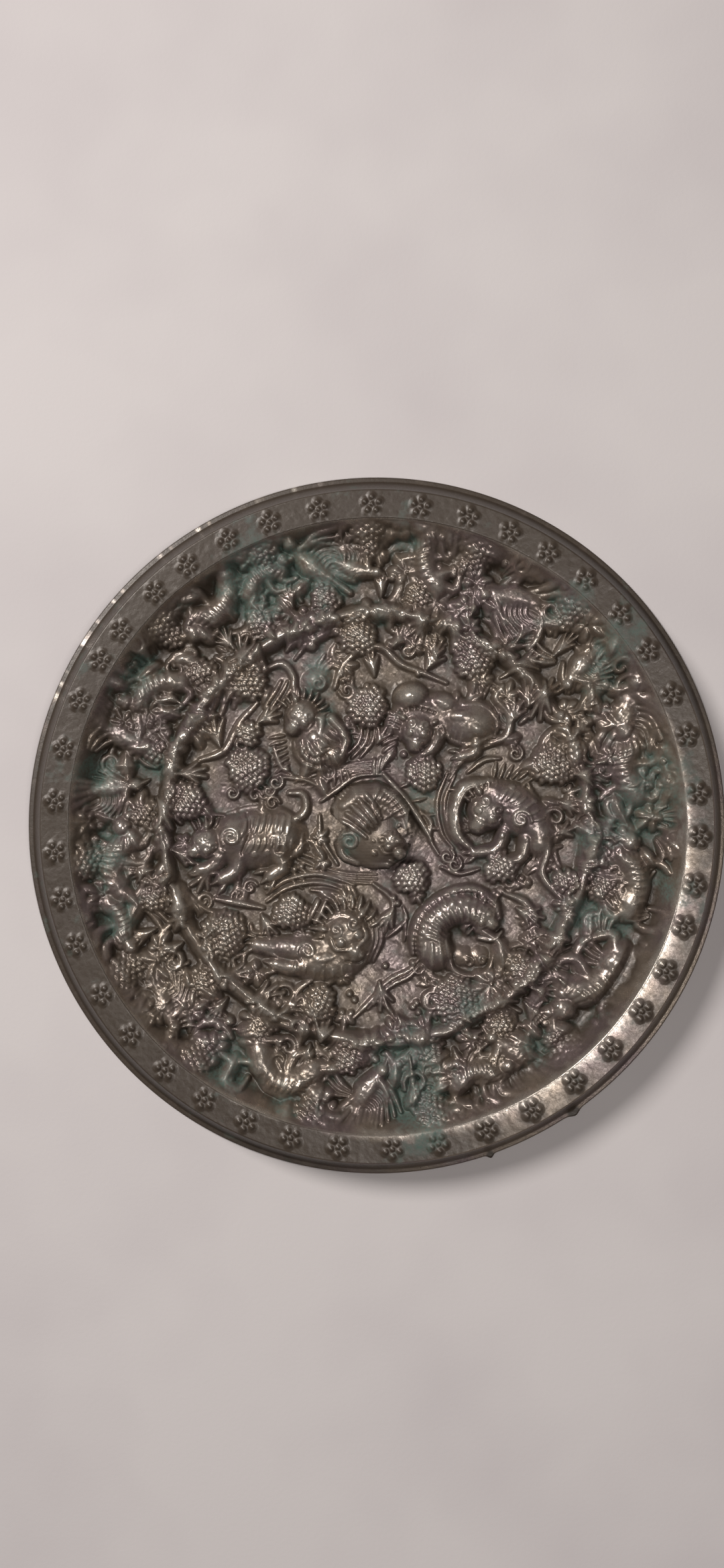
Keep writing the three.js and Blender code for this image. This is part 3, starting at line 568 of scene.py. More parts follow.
def innerVines():
    # the vines, sprays, leaves, curls and buds that can be told apart between the beasts
    b = back
    for width, rise, routes in (
        (2.3, 2.1, (
            ((-10.3, 33.6), (-8.5, 38.6), (-4, 42.8), (1, 43.4), (5.7, 39.4), (10.6, 37.4), (16.9, 34.8)),
            ((-43, 16), (-37, 18.4), (-33.4, 25), (-29, 30)),
            ((-39.2, -17.7), (-33, -18.8), (-27.6, -20)),
            ((-40, -32), (-33, -39), (-25, -44.6), (-17.4, -48)),
            ((39.5, 15), (40.5, 20.6), (44, 23.6), (48, 21)),
            ((-15.9, -37.5), (-19.2, -39.8), (-20.4, -43.7), (-18.2, -46.4)),
            ((14.4, -38.6), (12, -42.6), (14.4, -47)),
            ((31, -16.4), (36, -18.6), (38.6, -22.4), (36, -25)),
        )),
        (1.5, 1.7, (
            ((-26.8, -18.4), (-21.4, -14.9), (-13.6, -13.8), (-5.8, -16.5)),
            ((-26.8, -16.4), (-21.4, -12.9), (-13.6, -11.8), (-5.4, -14.4)),
            ((-20, 40.5), (-16, 45), (-10, 46.6)), ((-25, 19), (-23.4, 14.6), (-20.6, 12.4)),
            ((-30.7, -24), (-29.7, -26), (-24, -26)), ((-5.8, -46.8), (-2, -43), (1.2, -39.4)),
            ((5, -47.4), (1.4, -43), (-2, -43)), ((7, -23), (5, -25), (2.5, -27)),
            ((22, 13), (26, 16), (30, 16.4)), ((35.4, -28), (38, -30), (39.6, -33.4)),
            ((10.6, 3.6), (13, 1), (12.8, -3), (15, -7)), ((-13.6, 6), (-10, 8.6), (-5, 12), (2, 12.6)),
            ((-14, 2.6), (-13.4, -3), (-9.6, -9.4)), ((-24, 12), (-17, 11), (-12, 8)),
            ((30, 36), (34, 37.6), (36.6, 33)), ((-46, -16), (-41, -20.6), (-34, -21)),
            ((15.6, -10), (20, -11.6), (25, -10.4)), ((38.6, 31), (41.6, 26), (45.6, 25)),
            ((-1, -14), (3.6, -18), (3, -23)), ((-16, -15.6), (-10, -16.4), (-4, -19.6)),
        )),
    ):
        for route in routes:
            b.stroke(seen(*route), width, rise, (0.6, 1, 0.9, 0.5))
    for root, turn, length, spread, count in (
        ((32.4, 25), 70, 6, 36, 4), ((36.6, 29), 90, 6, 34, 4), ((40, 31), 50, 5.4, 34, 4),
        ((-38, 19), 110, 9, 30, 4), ((-36.6, 30), 70, 8, 26, 4), ((34, -20), 330, 7, 34, 4),
        ((-0.6, 36.4), 100, 6, 22, 4), ((44, 6), 340, 6, 30, 4), ((-28, -21.6), 300, 6, 34, 4),
        ((4, -20), 240, 6, 30, 4), ((37, -37), 300, 7, 34, 4), ((4, 43.6), 50, 6, 36, 5),
        ((28, -41), 320, 8, 30, 4), ((-29, 25), 30, 6, 30, 4), ((12, 38), 60, 6.6, 34, 4),
        ((0.6, -38), 280, 7, 30, 4), ((-40, -10), 230, 7, 34, 4), ((14.4, 40.4), 100, 6, 34, 4),
        ((-38.6, 27), 190, 6, 34, 4), ((0, 20), 60, 5, 30, 3), ((43.6, -2), 20, 5, 30, 3),
        ((-26, -40.6), 250, 7, 30, 4), ((5, -46), 300, 6, 34, 4), ((-22, 42.4), 60, 7, 30, 4),
    ):
        b.fan(seen(root), turn, length, spread, count, 1.15, 0.6, 1.6)
    for x, y, turn, long in (
        (-37.6, 33, 120, 8), (31.4, 31.4, 70, 7), (38, -27, 330, 8), (-29, -35.4, 220, 8),
        (9, 43.4, 80, 7), (-46.4, -4, 200, 6), (12, 14.8, 60, 5.4), (9.4, -16.6, 300, 5),
        (46.4, 8, 20, 5), (-42, 24, 140, 7), (28.6, -46, 290, 7), (-7.6, -46, 260, 6), (25, 34.6, 60, 6),
        (-13, -8.6, 220, 5),
    ):
        b.leaf(seen((x, y)), turn, long, 1.9)
    for place in ((33.6, 17.6), (7.5, 42.6), (17, -7.4), (46, 5.5), (-33, 20), (-24.6, 10.6),
                  (18.8, -9.3), (22, 8.4)):
        b.curl(seen(place), 3.8, 20, 1, 1.2, 2.1)
    buds = (
        (3, 44.4), (5, 45.6), (4, 47.2), (10, 37), (26.5, 34.5), (34, 41.3), (35, 36.3), (-21.5, 47),
        (-15.5, 44), (-22, 13.7), (-26.8, -14.8), (-20, -10.5), (-18.4, -9.8), (-7, -17.5),
        (-31.5, -40.5), (-31.5, -42.5), (-26.3, -40.8), (-24.7, -42), (-6.7, -40.8), (-5.5, -42.3),
        (-8.5, -45.3), (-6.3, -45.5), (4, -17.5), (5, -18.8), (37.5, -36.5), (8.7, -44), (10, -45.3),
        (9.6, -43), (2, -34), (8.7, -33.3),
    )
    b.beads(seen(*buds), 1.6, 2.2, "over")


filling = {
    # how many vines wander over each field between two radii, with their step, width and rise
    "inner": {"count": 70, "low": 15, "high": 51, "step": 1.6, "width": (1.3, 2.3), "rise": (0.7, 1.4),
              "seed": 21},
    "outer": {"count": 120, "low": 51, "high": 66, "step": 2.4, "width": (2.2, 3.8), "rise": (1.4, 2.5),
              "seed": 22},
    "slope": {"count": 64, "low": 63, "high": 69, "step": 2.4, "width": (2.4, 4.0), "rise": (2.0, 3.2),
              "seed": 24},
    "ridge": {"count": 46, "seed": 23},
}


def wanderingVines(field):
    # each vine starts at a random place and turns evenly as it goes, so it runs in an arc. It
    # throws off a curl, a leaf, a few curved ribs, three beads or a bud to its sides.
    b = back
    part = filling[field]
    rng = np.random.default_rng(part["seed"])
    for _ in range(part["count"]):
        radius = math.sqrt(rng.uniform(part["low"] ** 2, part["high"] ** 2))
        place = polar((rng.uniform(0, 360), radius))[0]
        turn = rng.uniform(0, 360)
        bend = rng.choice((-1, 1)) * rng.uniform(14, 44)
        steps = int(rng.integers(4, 7))
        width, rise = rng.uniform(*part["width"]), rng.uniform(*part["rise"])
        headings = np.radians(turn + bend * np.arange(steps))
        strides = part["step"] * np.stack((np.cos(headings), np.sin(headings)), axis=1)
        route = place + np.cumsum(strides, axis=0)
        b.stroke(route, width, rise, (0.4, 1, 1, 0.6))
        kinds = rng.integers(0, 6, 2)
        for kind, root, hand in zip(kinds, (route[1], route[-2]), (1, -1)):
            heading = turn + hand * rng.uniform(30, 80)
            way = towards(heading)
            size = rng.uniform(0.85, 1.25) * part["step"]
            if kind == 0:
                b.curl(root + 0.9 * size * way, 2.2 * size, heading, hand, 0.72 * size, rise + 0.3)
            elif kind == 1:
                b.leaf(root + 0.9 * size * way, heading, 3.6 * size, rise + 0.5)
            elif kind == 2:
                b.comb((root, root + 1.9 * size * way), 2.6 * size, (heading + 60, heading + 90), 3,
                       0.8 * size, rise, 40, "over")
            elif kind == 3:
                spots = np.stack((np.cos(headings[:3] * 3), np.sin(headings[:3] * 3)), axis=1)
                b.beads(root + 0.7 * size * spots, 0.95 * size, rise + 0.6, "over")
            else:
                b.mound(root + 0.6 * size * way, 3 * size, 1.7 * size, heading, rise + 0.8, "blend", 0.85)
                b.stroke((root - 0.5 * size * way, root + size * way, root + 2 * size * way), 0.5 * size,
                         0.4, way="on")


def besideKnob():
    # a straight ridge that runs past the knob on its right, with strands, and long low lines
    b = back
    b.stroke(seen((1.6, 12.6), (6.5, 7), (10, 2), (13.2, -3.4)), 2.2, 2.6, (0.6, 1, 1, 0.5))
    b.comb(seen((5.4, 9.4), (9.6, 4.4), (12, 0)), 3.6, (20, -20), 4, 1.1, 1.5, 20, "over")
    for shift in (0, 2.0, 4.0):
        above = seen((-16 - shift, 9.4 + 0.3 * shift), (-10, 12 + shift * 0.5), (-3, 13.6 + shift * 0.5),
                     (3, 13.4 + shift * 0.6))
        b.stroke(above, 1.2, 0.9, (0.4, 1, 1, 0.4))
        below = seen((-15 - shift * 0.5, -9.5 - shift * 0.5), (-8, -11.4 - shift * 0.5),
                     (0, -11.8 - shift * 0.6))
        b.stroke(below, 1.2, 0.9, (0.4, 1, 0.4))


def innerField():
    wanderingVines("inner")
    innerVines()
    besideKnob()
    innerGrapes()
    for carve in (beastLeft, beastUpperLeft, beastUpperRight, beastRight, beastLowerRight, beastLowerLeft):
        carve(4.7)


outer = {
    "rimRadius": 67.6,  # the middle of the bunches that climb the rim
    "ridgeRadius": 55.8,  # the middle of the bunches that lean on the ridge
    "rimBunches": (48, 70, 92, 113, 137, 187, 210, 232, 257, 281, 310),
    "ridgeBunches": (80, 103, 120, 139, 161, 177, 198, 222, 240, 263, 283, 302, 345),
    "bunch": (8.8, 7.6, 3.1),  # long, wide and rise
}


def ridgeLeaves():
    # leaves and short ribs that lie across the ridge at random places and headings
    b = back
    part = filling["ridge"]
    rng = np.random.default_rng(part["seed"])
    for number in range(part["count"]):
        angle = 360 * (number + rng.uniform(-0.4, 0.4)) / part["count"]
        radius = disc["ridgeRadius"] + rng.uniform(-2.6, 2.6)
        heading = angle + rng.choice((0, 180)) + rng.uniform(-50, 50)
        root, size = polar((angle, radius)), rng.uniform(5.5, 8.5)
        if rng.random() < 0.5:
            b.leaf(root, heading, size, 2.3)
        else:
            b.fan(root, heading, size, 30, 4, 1.3, 0.6, 2.2)


def outerField():
    # vines first, then bunches, sprays, birds, small beasts and buds at their angles and radii
    b = back
    wanderingVines("outer")
    wanderingVines("slope")
    ridgeLeaves()
    long, wide, rise = outer["bunch"]
    for angle in outer["rimBunches"]:
        b.grapes(polar((angle, outer["rimRadius"])), angle + 180, long, wide, rise + 0.4)
    for angle in outer["ridgeBunches"]:
        b.grapes(polar((angle, outer["ridgeRadius"])), angle, 0.9 * long, 0.9 * wide, rise - 0.3)
    for angle, radius, length, spread, count in (
        (111, 55.5, 6, 34, 5), (129, 54, 6, 34, 5), (191, 54, 6, 30, 5), (211, 54, 6, 34, 5),
        (253, 54.4, 6, 34, 5), (66, 54.6, 8, 26, 5), (310, 54.6, 7, 30, 5), (2, 62, 9, 22, 5),
        (9, 60, 5, 20, 4), (30, 54, 6, 30, 4), (44, 58, 8, 18, 4), (53, 54.5, 9, 22, 5),
        (89, 54.4, 6, 20, 4), (148, 54.4, 8, 26, 5), (170, 60, 8, 26, 5), (205, 58, 8, 24, 5),
        (229, 54.4, 6, 24, 4), (278, 55, 14, 9, 4), (289, 56, 6, 30, 4), (320, 56, 6, 26, 4),
        (357, 54, 6, 30, 5), (16, 54, 7, 24, 4), (184, 62, 7, 30, 4), (220, 64, 6, 30, 4),
        (97, 63, 7, 24, 5),
    ):
        b.fan(polar((angle, radius)), angle, length, spread, count, 0.95, 0.7, 1.7)
    for angle, radius, turn, side, size in (
        (160, 64.5, 170, 1, 18), (104, 64, 40, -1, 17), (59, 63, 110, 1, 18), (24, 65, 60, -1, 19),
        (220, 65.4, 70, 1, 15), (268, 63, 150, -1, 16), (301, 63, 200, 1, 17), (172, 63.6, 200, -1, 15),
        (38, 62, 190, 1, 15), (95, 61.6, 250, 1, 14),
    ):
        bird(b, polar((angle, radius)), angle + turn, side, size, 3.9)
    for angle, radius, turn, bend, side, size in (
        (13, 61, 80, 0.6, 1, 19), (79, 63.6, 20, 0.4, 1, 18), (126, 64.4, 100, 0.8, 1, 18),
        (148, 62, 60, 0.6, -1, 17), (188, 62.6, 250, 0.8, 1, 19), (200, 65, 90, 0.4, 1, 15),
        (249, 64, 90, 1.2, -1, 20), (292, 63.4, 80, 0.8, 1, 16), (325, 64.0, 250, 0.6, 1, 23),
        (348, 62, 110, 0.6, -1, 20), (115, 65, 280, 0.6, 1, 14),
    ):
        creature(b, polar((angle, radius)), angle + turn, bend, side, size, 4.2)
    beadsAt = (
        (98, 68.4), (101, 59.4), (107, 59.6), (83, 61.8), (292, 68.6), (296, 66.7), (298, 56.2),
        (343, 63.2), (357, 62.2), (354, 61.4), (154, 56.2), (246, 57), (216, 60), (120, 60.6), (64, 69),
        (75, 69.4), (146, 69), (196, 69.4), (240, 69), (270, 69.6), (318, 69.2), (336, 69), (352, 68.6),
        (29, 58.6), (20, 56),
    )
    b.beads(polar(*beadsAt), 1.7, 2.4, "over")


bare = {
    # where the slope shows with little carving on it
    "angle": 318,
    "spread": 26,
    "from": 65.5,  # the radius at which it starts
    "share": 0.6,  # how much lower the carving is there
    "fade": 8,  # degrees over which this starts and ends
    "bandGap": (0.5, 2.6),  # everywhere the carving ends so far inside the band, and sinks over this width
}

rosette = {
    "radius": (bandOuter + bandInner) / 2 - 0.2,
    "angles": (5.9, 16.4, 24.1, 33, 41.1, 49.8, 58, 65.7, 73.6, 82.3, 91, 100.5, 109.5, 117.5, 126, 133.5,
               142.5, 149, 157, 166, 175.5, 184.5, 193, 201.4, 211.4, 220.2, 228.9, 237.7, 246.1, 254.5,
               263, 272.7, 280.9, 289.8, 298.6, 307.7, 316.4, 325.1, 333.4, 341.9, 349.6, 358.2),
    "rise": 0.55,
    "petalOut": 1.7,  # the middle of a petal from the middle of the flower
    "petal": (2.7, 2.9),
    "bead": 1.4,
    "beadRise": 0.42,
    "dark": 0.75,  # how much darker a flower is than the band
    "darkArea": 7.0,  # the square of the radius over which it is darker
}


def rosettes():
    # five low petals with a bead on each and one bead in the middle, every flower a little turned
    b = back
    for k, angle in enumerate(rosette["angles"]):
        place = polar((angle, rosette["radius"]))[0]
        for petal in range(5):
            middle = place + rosette["petalOut"] * towards(angle + 72 * petal)
            b.mound(middle, *rosette["petal"], 0, 0.5 * rosette["rise"], "over", 0.8)
            b.mound(middle, rosette["bead"], rosette["bead"], 0, rosette["beadRise"], "on", 0.7)
        b.mound(place, rosette["bead"], rosette["bead"], 0, rosette["rise"] + 0.05, "over", 0.7)


innerField()
print("carved the inner field")
outerField()
print("carved the outer field")
cells = np.arange(back.count) * back.pitch - back.half
radiusOf = np.hypot(cells[None, :], cells[:, None])
angleOf = np.degrees(np.arctan2(cells[:, None], cells[None, :])) % 360
back.rise *= np.clip((bandInner - bare["bandGap"][0] - radiusOf) / bare["bandGap"][1], 0, 1) ** 0.8
bareShare = np.clip((bare["spread"] - np.abs(angleOf - bare["angle"])) / bare["fade"], 0, 1)
bareShare = np.clip((radiusOf - bare["from"]) / 2, 0, 1) * bareShare
back.rise *= 1 - bare["share"] * bareShare
rosettes()
print("carved the flowers on the rim")


def discHeight(r):
    # the plain back at a radius: the ground, a cosine to the power 1.6 for the ridge, a quarter of
    # a sine for the slope, and the band
    ridge = np.abs(r - disc["ridgeRadius"]) / (disc["ridgeWidth"] / 2)
    height = disc["plate"] + disc["ridgeRise"] * np.cos(np.clip(ridge, 0, 1) * math.pi / 2) ** 1.6
    t = np.clip((bandInner - r) / disc["slopeWidth"], 0, 1)
    slope = disc["rimHeight"] - (disc["rimHeight"] - disc["plate"]) * np.sin(t * math.pi / 2)
    return np.where(r > fieldEnd, slope, height)


casting = {
    # a noise is given as its share or rise, the cell of its lattice and its seed; reaches are cells
    "wander": ((0.6, 110, 11), (0.2, 40, 12)),  # how far the ridge strays to its sides
    "ridgeLoss": 0.2,  # the share by which the ridge is lower than its arc
    "unevenLoss": (0.2, 60, 13),
    "climb": 0.75,  # the share of the ridge that lifts the carving on it
    "carving": 0.72,
    "foot": 0.4,
    "footReach": 11,
    "joint": 0.6,  # how softly the carving rises from the ground
    "wear": 1.5,  # reach of the blur that rounds all edges
    "skin": ((0.035, 5, 3), (0.09, 11, 4), (0.13, 28, 5)),
    "bandSkin": 0.35,  # how rough the band is beside the fields
    "waves": ((0.08, 90, 6),),
}


def wholeBack():
    # the height of the back over the whole canvas. The carving stands on the ground, on three
    # quarters of the ridge and on the slope; a wide blur of it gives each form a soft foot, a light
    # blur wears it, and noise of several sizes leaves the skin of the casting uneven.
    def noises(parts):
        return sum(share * smoothNoise(back.rise.shape, cell, seed) for share, cell, seed in parts)

    onField = radiusOf < fieldEnd
    plain = discHeight(radiusOf + noises(casting["wander"]) * onField)
    loss = casting["ridgeLoss"] + noises([casting["unevenLoss"]])
    plain = plain - np.where(onField, (plain - disc["plate"]) * loss, 0)
    inField = radiusOf < bandInner - 0.3
    ground = np.where(onField, disc["plate"] + casting["climb"] * (plain - disc["plate"]), plain)
    foot = casting["foot"] * blurred(back.rise, casting["footReach"])
    carved = np.where(inField, casting["carving"] * back.rise + foot, back.rise) + ground
    soft = casting["joint"]
    near = np.clip(soft - np.abs(plain - carved), 0, None) ** 2 / (4 * soft)
    near *= np.clip(back.rise / soft, 0, 1)
    height = blurred(np.maximum(plain, carved) + near, casting["wear"])
    rough = np.where(inField, 1.0, casting["bandSkin"])
    height = height + rough * noises(casting["skin"]) + noises(casting["waves"])
    return np.minimum(height, disc["topHeight"])


# crests show real wear; low places are darkened in colour, dirt together with painted shade where shade
# falls
wearShadeAndDirt = {
    "near": 9,  # reach in cells of the blur that tells an edge from its surroundings
    "far": 30,  # and of the blur that tells a high form from the ground
    "edge": 0.6,  # how much worn metal an edge shows
    "top": 0.3,
    "depth": 3.4,  # the millimetres below its surroundings at which a low place is quite dark, with dirt and painted shade
    "darkerAngle": 155,  # the outer field is darker in colour towards this side
    "darkerSpread": 62,
    "darkerFrom": 46,
    "darkerBy": 0.34,
}
height = wholeBack()
slopeY, slopeX = np.gradient(height, back.pitch)
overFoot = height - blurred(height, wearShadeAndDirt["far"])
crest = wearShadeAndDirt["edge"] * (height - blurred(height, wearShadeAndDirt["near"]))
crest += wearShadeAndDirt["top"] * np.clip(overFoot, 0, None)
# painted shade together with dirt: places below their surroundings are darkened, the deeper the darker
shadeAndDirt = np.clip(-overFoot / wearShadeAndDirt["depth"], -1, 1)
# the outer field is made darker towards the upper left, fading in outside the given radius
darkerSide = np.exp(-(degreesApart(angleOf, wearShadeAndDirt["darkerAngle"]) / wearShadeAndDirt["darkerSpread"]) ** 2)
shadeAndDirt += wearShadeAndDirt["darkerBy"] * darkerSide * np.clip((radiusOf - wearShadeAndDirt["darkerFrom"]) / 6, 0, 1)
print("worked out the back")


def sampled(field, x, y):
    # the value of a canvas field at places, by bilinear interpolation
    u = np.clip((x + back.half) / back.pitch, 0, back.count - 1.001)
    v = np.clip((y + back.half) / back.pitch, 0, back.count - 1.001)
    i, j = u.astype(int), v.astype(int)
    fu, fv = u - i, v - j
    low = field[j, i] * (1 - fu) + field[j, i + 1] * fu
    high = field[j + 1, i] * (1 - fu) + field[j + 1, i + 1] * fu
    return low * (1 - fv) + high * fv


def newObject(name, data):
    # an object with that data, linked into the scene
    made = bpy.data.objects.new(name, data)
    bpy.context.scene.collection.objects.link(made)
    return made


def setValues(mesh, values):
    # the values that the material reads at each point
    for key, value in values.items():
        made = mesh.attributes.new(key, "FLOAT", "POINT")
        made.data.foreach_set("value", value.astype(np.float32).ravel())


def newPiece(name, points, faces, normals, values, material):
    # a mesh from arrays: places in millimetres, triangles or quads, a normal and values per point
    mesh = bpy.data.meshes.new(name)
    mesh.vertices.add(len(points))
    mesh.vertices.foreach_set("co", (points * metre).astype(np.float32).ravel())
    sides = faces.shape[1]
    mesh.loops.add(faces.size)
    mesh.loops.foreach_set("vertex_index", faces.astype(np.int32).ravel())
    mesh.polygons.add(len(faces))
    mesh.polygons.foreach_set("loop_start", np.arange(0, faces.size, sides, dtype=np.int32))
    mesh.update(calc_edges=True)
    mesh.shade_smooth()
    if normals is not None:
        mesh.normals_split_custom_set_from_vertices(normals.astype(np.float32))
    setValues(mesh, values)
    piece = newObject(name, mesh)
    mesh.materials.append(material)
    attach(piece, "root")
    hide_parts("mirror", "knob")
    print("made", name, len(faces) * (sides - 2), "triangles")
    return piece


def backValues(x, y):
    return {"crest": sampled(crest, x, y), "shadeAndDirt": sampled(shadeAndDirt, x, y), "green": greenAt(x, y)}


def backNormals(x, y):
    # a surface over x and y stands across its two slopes: minus each slope, and 1 upwards
    return np.stack((-sampled(slopeX, x, y), -sampled(slopeY, x, y), np.ones_like(x)), axis=1)


def backPiece(name, x, y, faces, material):
    # a piece of the back over these places, with height, normals and values from the canvas
    points = np.stack((x, y, sampled(height, x, y)), axis=1)
    normals = backNormals(x, y)
    normals /= np.linalg.norm(normals, axis=1, keepdims=True)
    return newPiece(name, points, faces, normals, backValues(x, y), material)


def ringFaces(rows, turns):
    # triangles between neighbouring rows of points round the disc, rows from the middle outwards
    i, k = np.meshgrid(np.arange(rows - 1), np.arange(turns), indexing="ij")
    a, b = i * turns + k, i * turns + (k + 1) % turns
    c, d = a + turns, b + turns
    return np.concatenate((np.stack((a, c, d), -1).reshape(-1, 3), np.stack((a, d, b), -1).reshape(-1, 3)))


def zipFaces(innerStart, innerTurns, outerStart, outerTurns):
    # triangles between two rings with different numbers of points: each step of either ring is
    # joined to the point of the other that lies next to the step's middle
    ka, kb = np.arange(innerTurns), np.arange(outerTurns)
    midA, midB = (ka + 0.5) / innerTurns, (kb + 0.5) / outerTurns
    opposite = np.searchsorted(midB, midA, side="left") % outerTurns
    first = np.stack((innerStart + ka, outerStart + opposite, innerStart + (ka + 1) % innerTurns), -1)
    opposite = np.searchsorted(midA, midB, side="right") % innerTurns
    second = np.stack((outerStart + kb, outerStart + (kb + 1) % outerTurns, innerStart + opposite), -1)
    return np.concatenate((first, second))


def ringPoints(radii, turns):
    # evenly spread points on circles: radius times the cosine and the sine of the angle
    angle = 2 * math.pi * np.arange(turns) / turns
    r, a = np.meshgrid(radii, angle, indexing="ij")
    return (r * np.cos(a)).ravel(), (r * np.sin(a)).ravel()


grid = {
    "centreCells": 312,  # across the middle piece, so its edge has four times as many points
    "centreRadius": 37.0,
    "innerRows": 56,
    "outerTurns": 1664,
    "fieldRows": 58,
    "splitRadius": 61.4,
    "bandRows": 29,
}


def centrePiece(material):
    # a square grid drawn onto a round one: each square ring becomes a circle of the same half
    # width, with its points evenly spread
    n = grid["centreCells"]
    side = np.linspace(-1, 1, n + 1)
    u, v = np.meshgrid(side, side, indexing="xy")
    wide = np.abs(u) >= np.abs(v)
    radius = np.where(wide, u, v)
    safe = np.where(radius == 0, 1, radius)
    angle = np.where(wide, math.pi / 4 * v / safe, math.pi / 2 - math.pi / 4 * u / safe)
    x = (grid["centreRadius"] * radius * np.cos(angle)).ravel()
    y = (grid["centreRadius"] * radius * np.sin(angle)).ravel()
    i, k = np.meshgrid(np.arange(n), np.arange(n), indexing="ij")
    a = i * (n + 1) + k
    low = np.stack((a, a + 1, a + n + 2), -1).reshape(-1, 3)
    high = np.stack((a, a + n + 2, a + n + 1), -1).reshape(-1, 3)
    return backPiece("mirror_centre", x, y, np.concatenate((low, high)), material)


def fieldPieces(material):
    # rings from the middle piece to the top of the ridge, with the last one finer, and from there
    # two pieces with fine rings to the band
    fine, coarse = grid["outerTurns"], 4 * grid["centreCells"]
    rows = grid["innerRows"]
    radii = np.linspace(grid["centreRadius"], disc["ridgeRadius"], rows + 1)
    x, y = ringPoints(radii[:-1], coarse)
    edgeX, edgeY = ringPoints(radii[-1:], fine)
    faces = np.concatenate((ringFaces(rows, coarse),
                            zipFaces((rows - 1) * coarse, coarse, rows * coarse, fine)))
    backPiece("mirror_inner_field", np.append(x, edgeX), np.append(y, edgeY), faces, material)
    for name, low, high in (
        ("mirror_outer_field", disc["ridgeRadius"], grid["splitRadius"]),
        ("mirror_rim_slope", grid["splitRadius"], bandInner),
    ):
        radii = np.linspace(low, high, grid["fieldRows"] + 1)
        x, y = ringPoints(radii, fine)
        backPiece(name, x, y, ringFaces(len(radii), fine), material)


rim = {
    "shadeDirtMix": 0.45,  # painted shade and dirt of the flat band where it is lightest
    # the angle where the band shows the ceiling lamp's reflection; the painted shade is least there
    "brightAngle": 322,
    "brightSpread": 50,
    "awayShade": 1.1,  # how much more painted shade it has away from there, where no lamp is reflected
    "wallShadeAtBright": -0.3,  # the painted shade of the wall at the bright angle, below zero so the wall is lighter there
    "flecks": (95, 165),  # the angles between which the edge of the flange shows pale worn flecks
    "fleckFade": 6,  # degrees
    "fleckShine": 1.3,
    "spots": ((304.5, 1.5), (289, 0.8)),  # angle and reach of the dark lumps on the edge
    "spotDirt": 2.5,
    "spotOut": 0.009,  # how far a lump stands out, as a share of the radius
    "spotUp": 0.5,
    "wallHollowShade": 0.35,  # how much painted shade darkens the hollowed wall at its deepest
}


def rimShadeAndDirt(x, y, leastShade):
    # painted shade and dirt: from its least at the bright angle, where the band shows the ceiling lamp's
    # reflection, the painted shade rises evenly to its most; each flower is darker round its middle, and
    # the lumps on the edge are dark
    apart = degreesApart(np.degrees(np.arctan2(y, x)) % 360, rim["brightAngle"])
    shadeDirtMix = leastShade + rim["awayShade"] * np.clip((apart - rim["brightSpread"] / 2) / rim["brightSpread"], 0, 1)
    for cx, cy in polar(*((a, rosette["radius"]) for a in rosette["angles"])):
        away = (x - cx) ** 2 + (y - cy) ** 2
        shadeDirtMix = shadeDirtMix + rosette["dark"] * np.exp(-(away / rosette["darkArea"]) ** 2)
    for cx, cy, reach in ((*polar((a, disc["faceRadius"]))[0], r) for a, r in rim["spots"]):
        shadeDirtMix = shadeDirtMix + rim["spotDirt"] * np.exp(-((x - cx) ** 2 + (y - cy) ** 2) / reach**2)
    return shadeDirtMix


def edgeProfile():
    # radius and height down the outside: the rounded edge of the band, the hollowed wall, the
    # flange and the edge of the polished face
    top = bandOuter - disc["rimBevel"]
    turn = np.linspace(0, math.pi / 2, 5)[1:]
    drop = disc["rimBevel"] * (1 - np.cos(turn))
    bevel = np.stack((top + disc["rimBevel"] * np.sin(turn), disc["rimHeight"] - drop))
    t = np.linspace(0, 1, 14)[1:-1]
    low, high = disc["flangeThickness"], disc["rimHeight"] - disc["rimBevel"]
    bow = disc["wallHollow"] * np.sin(math.pi * t)
    wall = np.stack((bandOuter + (wallFoot - bandOuter) * t - bow, high + (low - high) * t))
    edge = disc["faceRadius"]
    flange = np.array((
        (wallFoot, low + 0.12), (wallFoot + 0.3, low), (edge - 0.4, low), (edge - 0.12, low - 0.12),
        (edge, low - 0.4), (edge, 0.4), (edge - 0.1, 0.1), (edge - 0.35, 0.0),
    )).T
    return np.concatenate((bevel, wall, flange), axis=1)


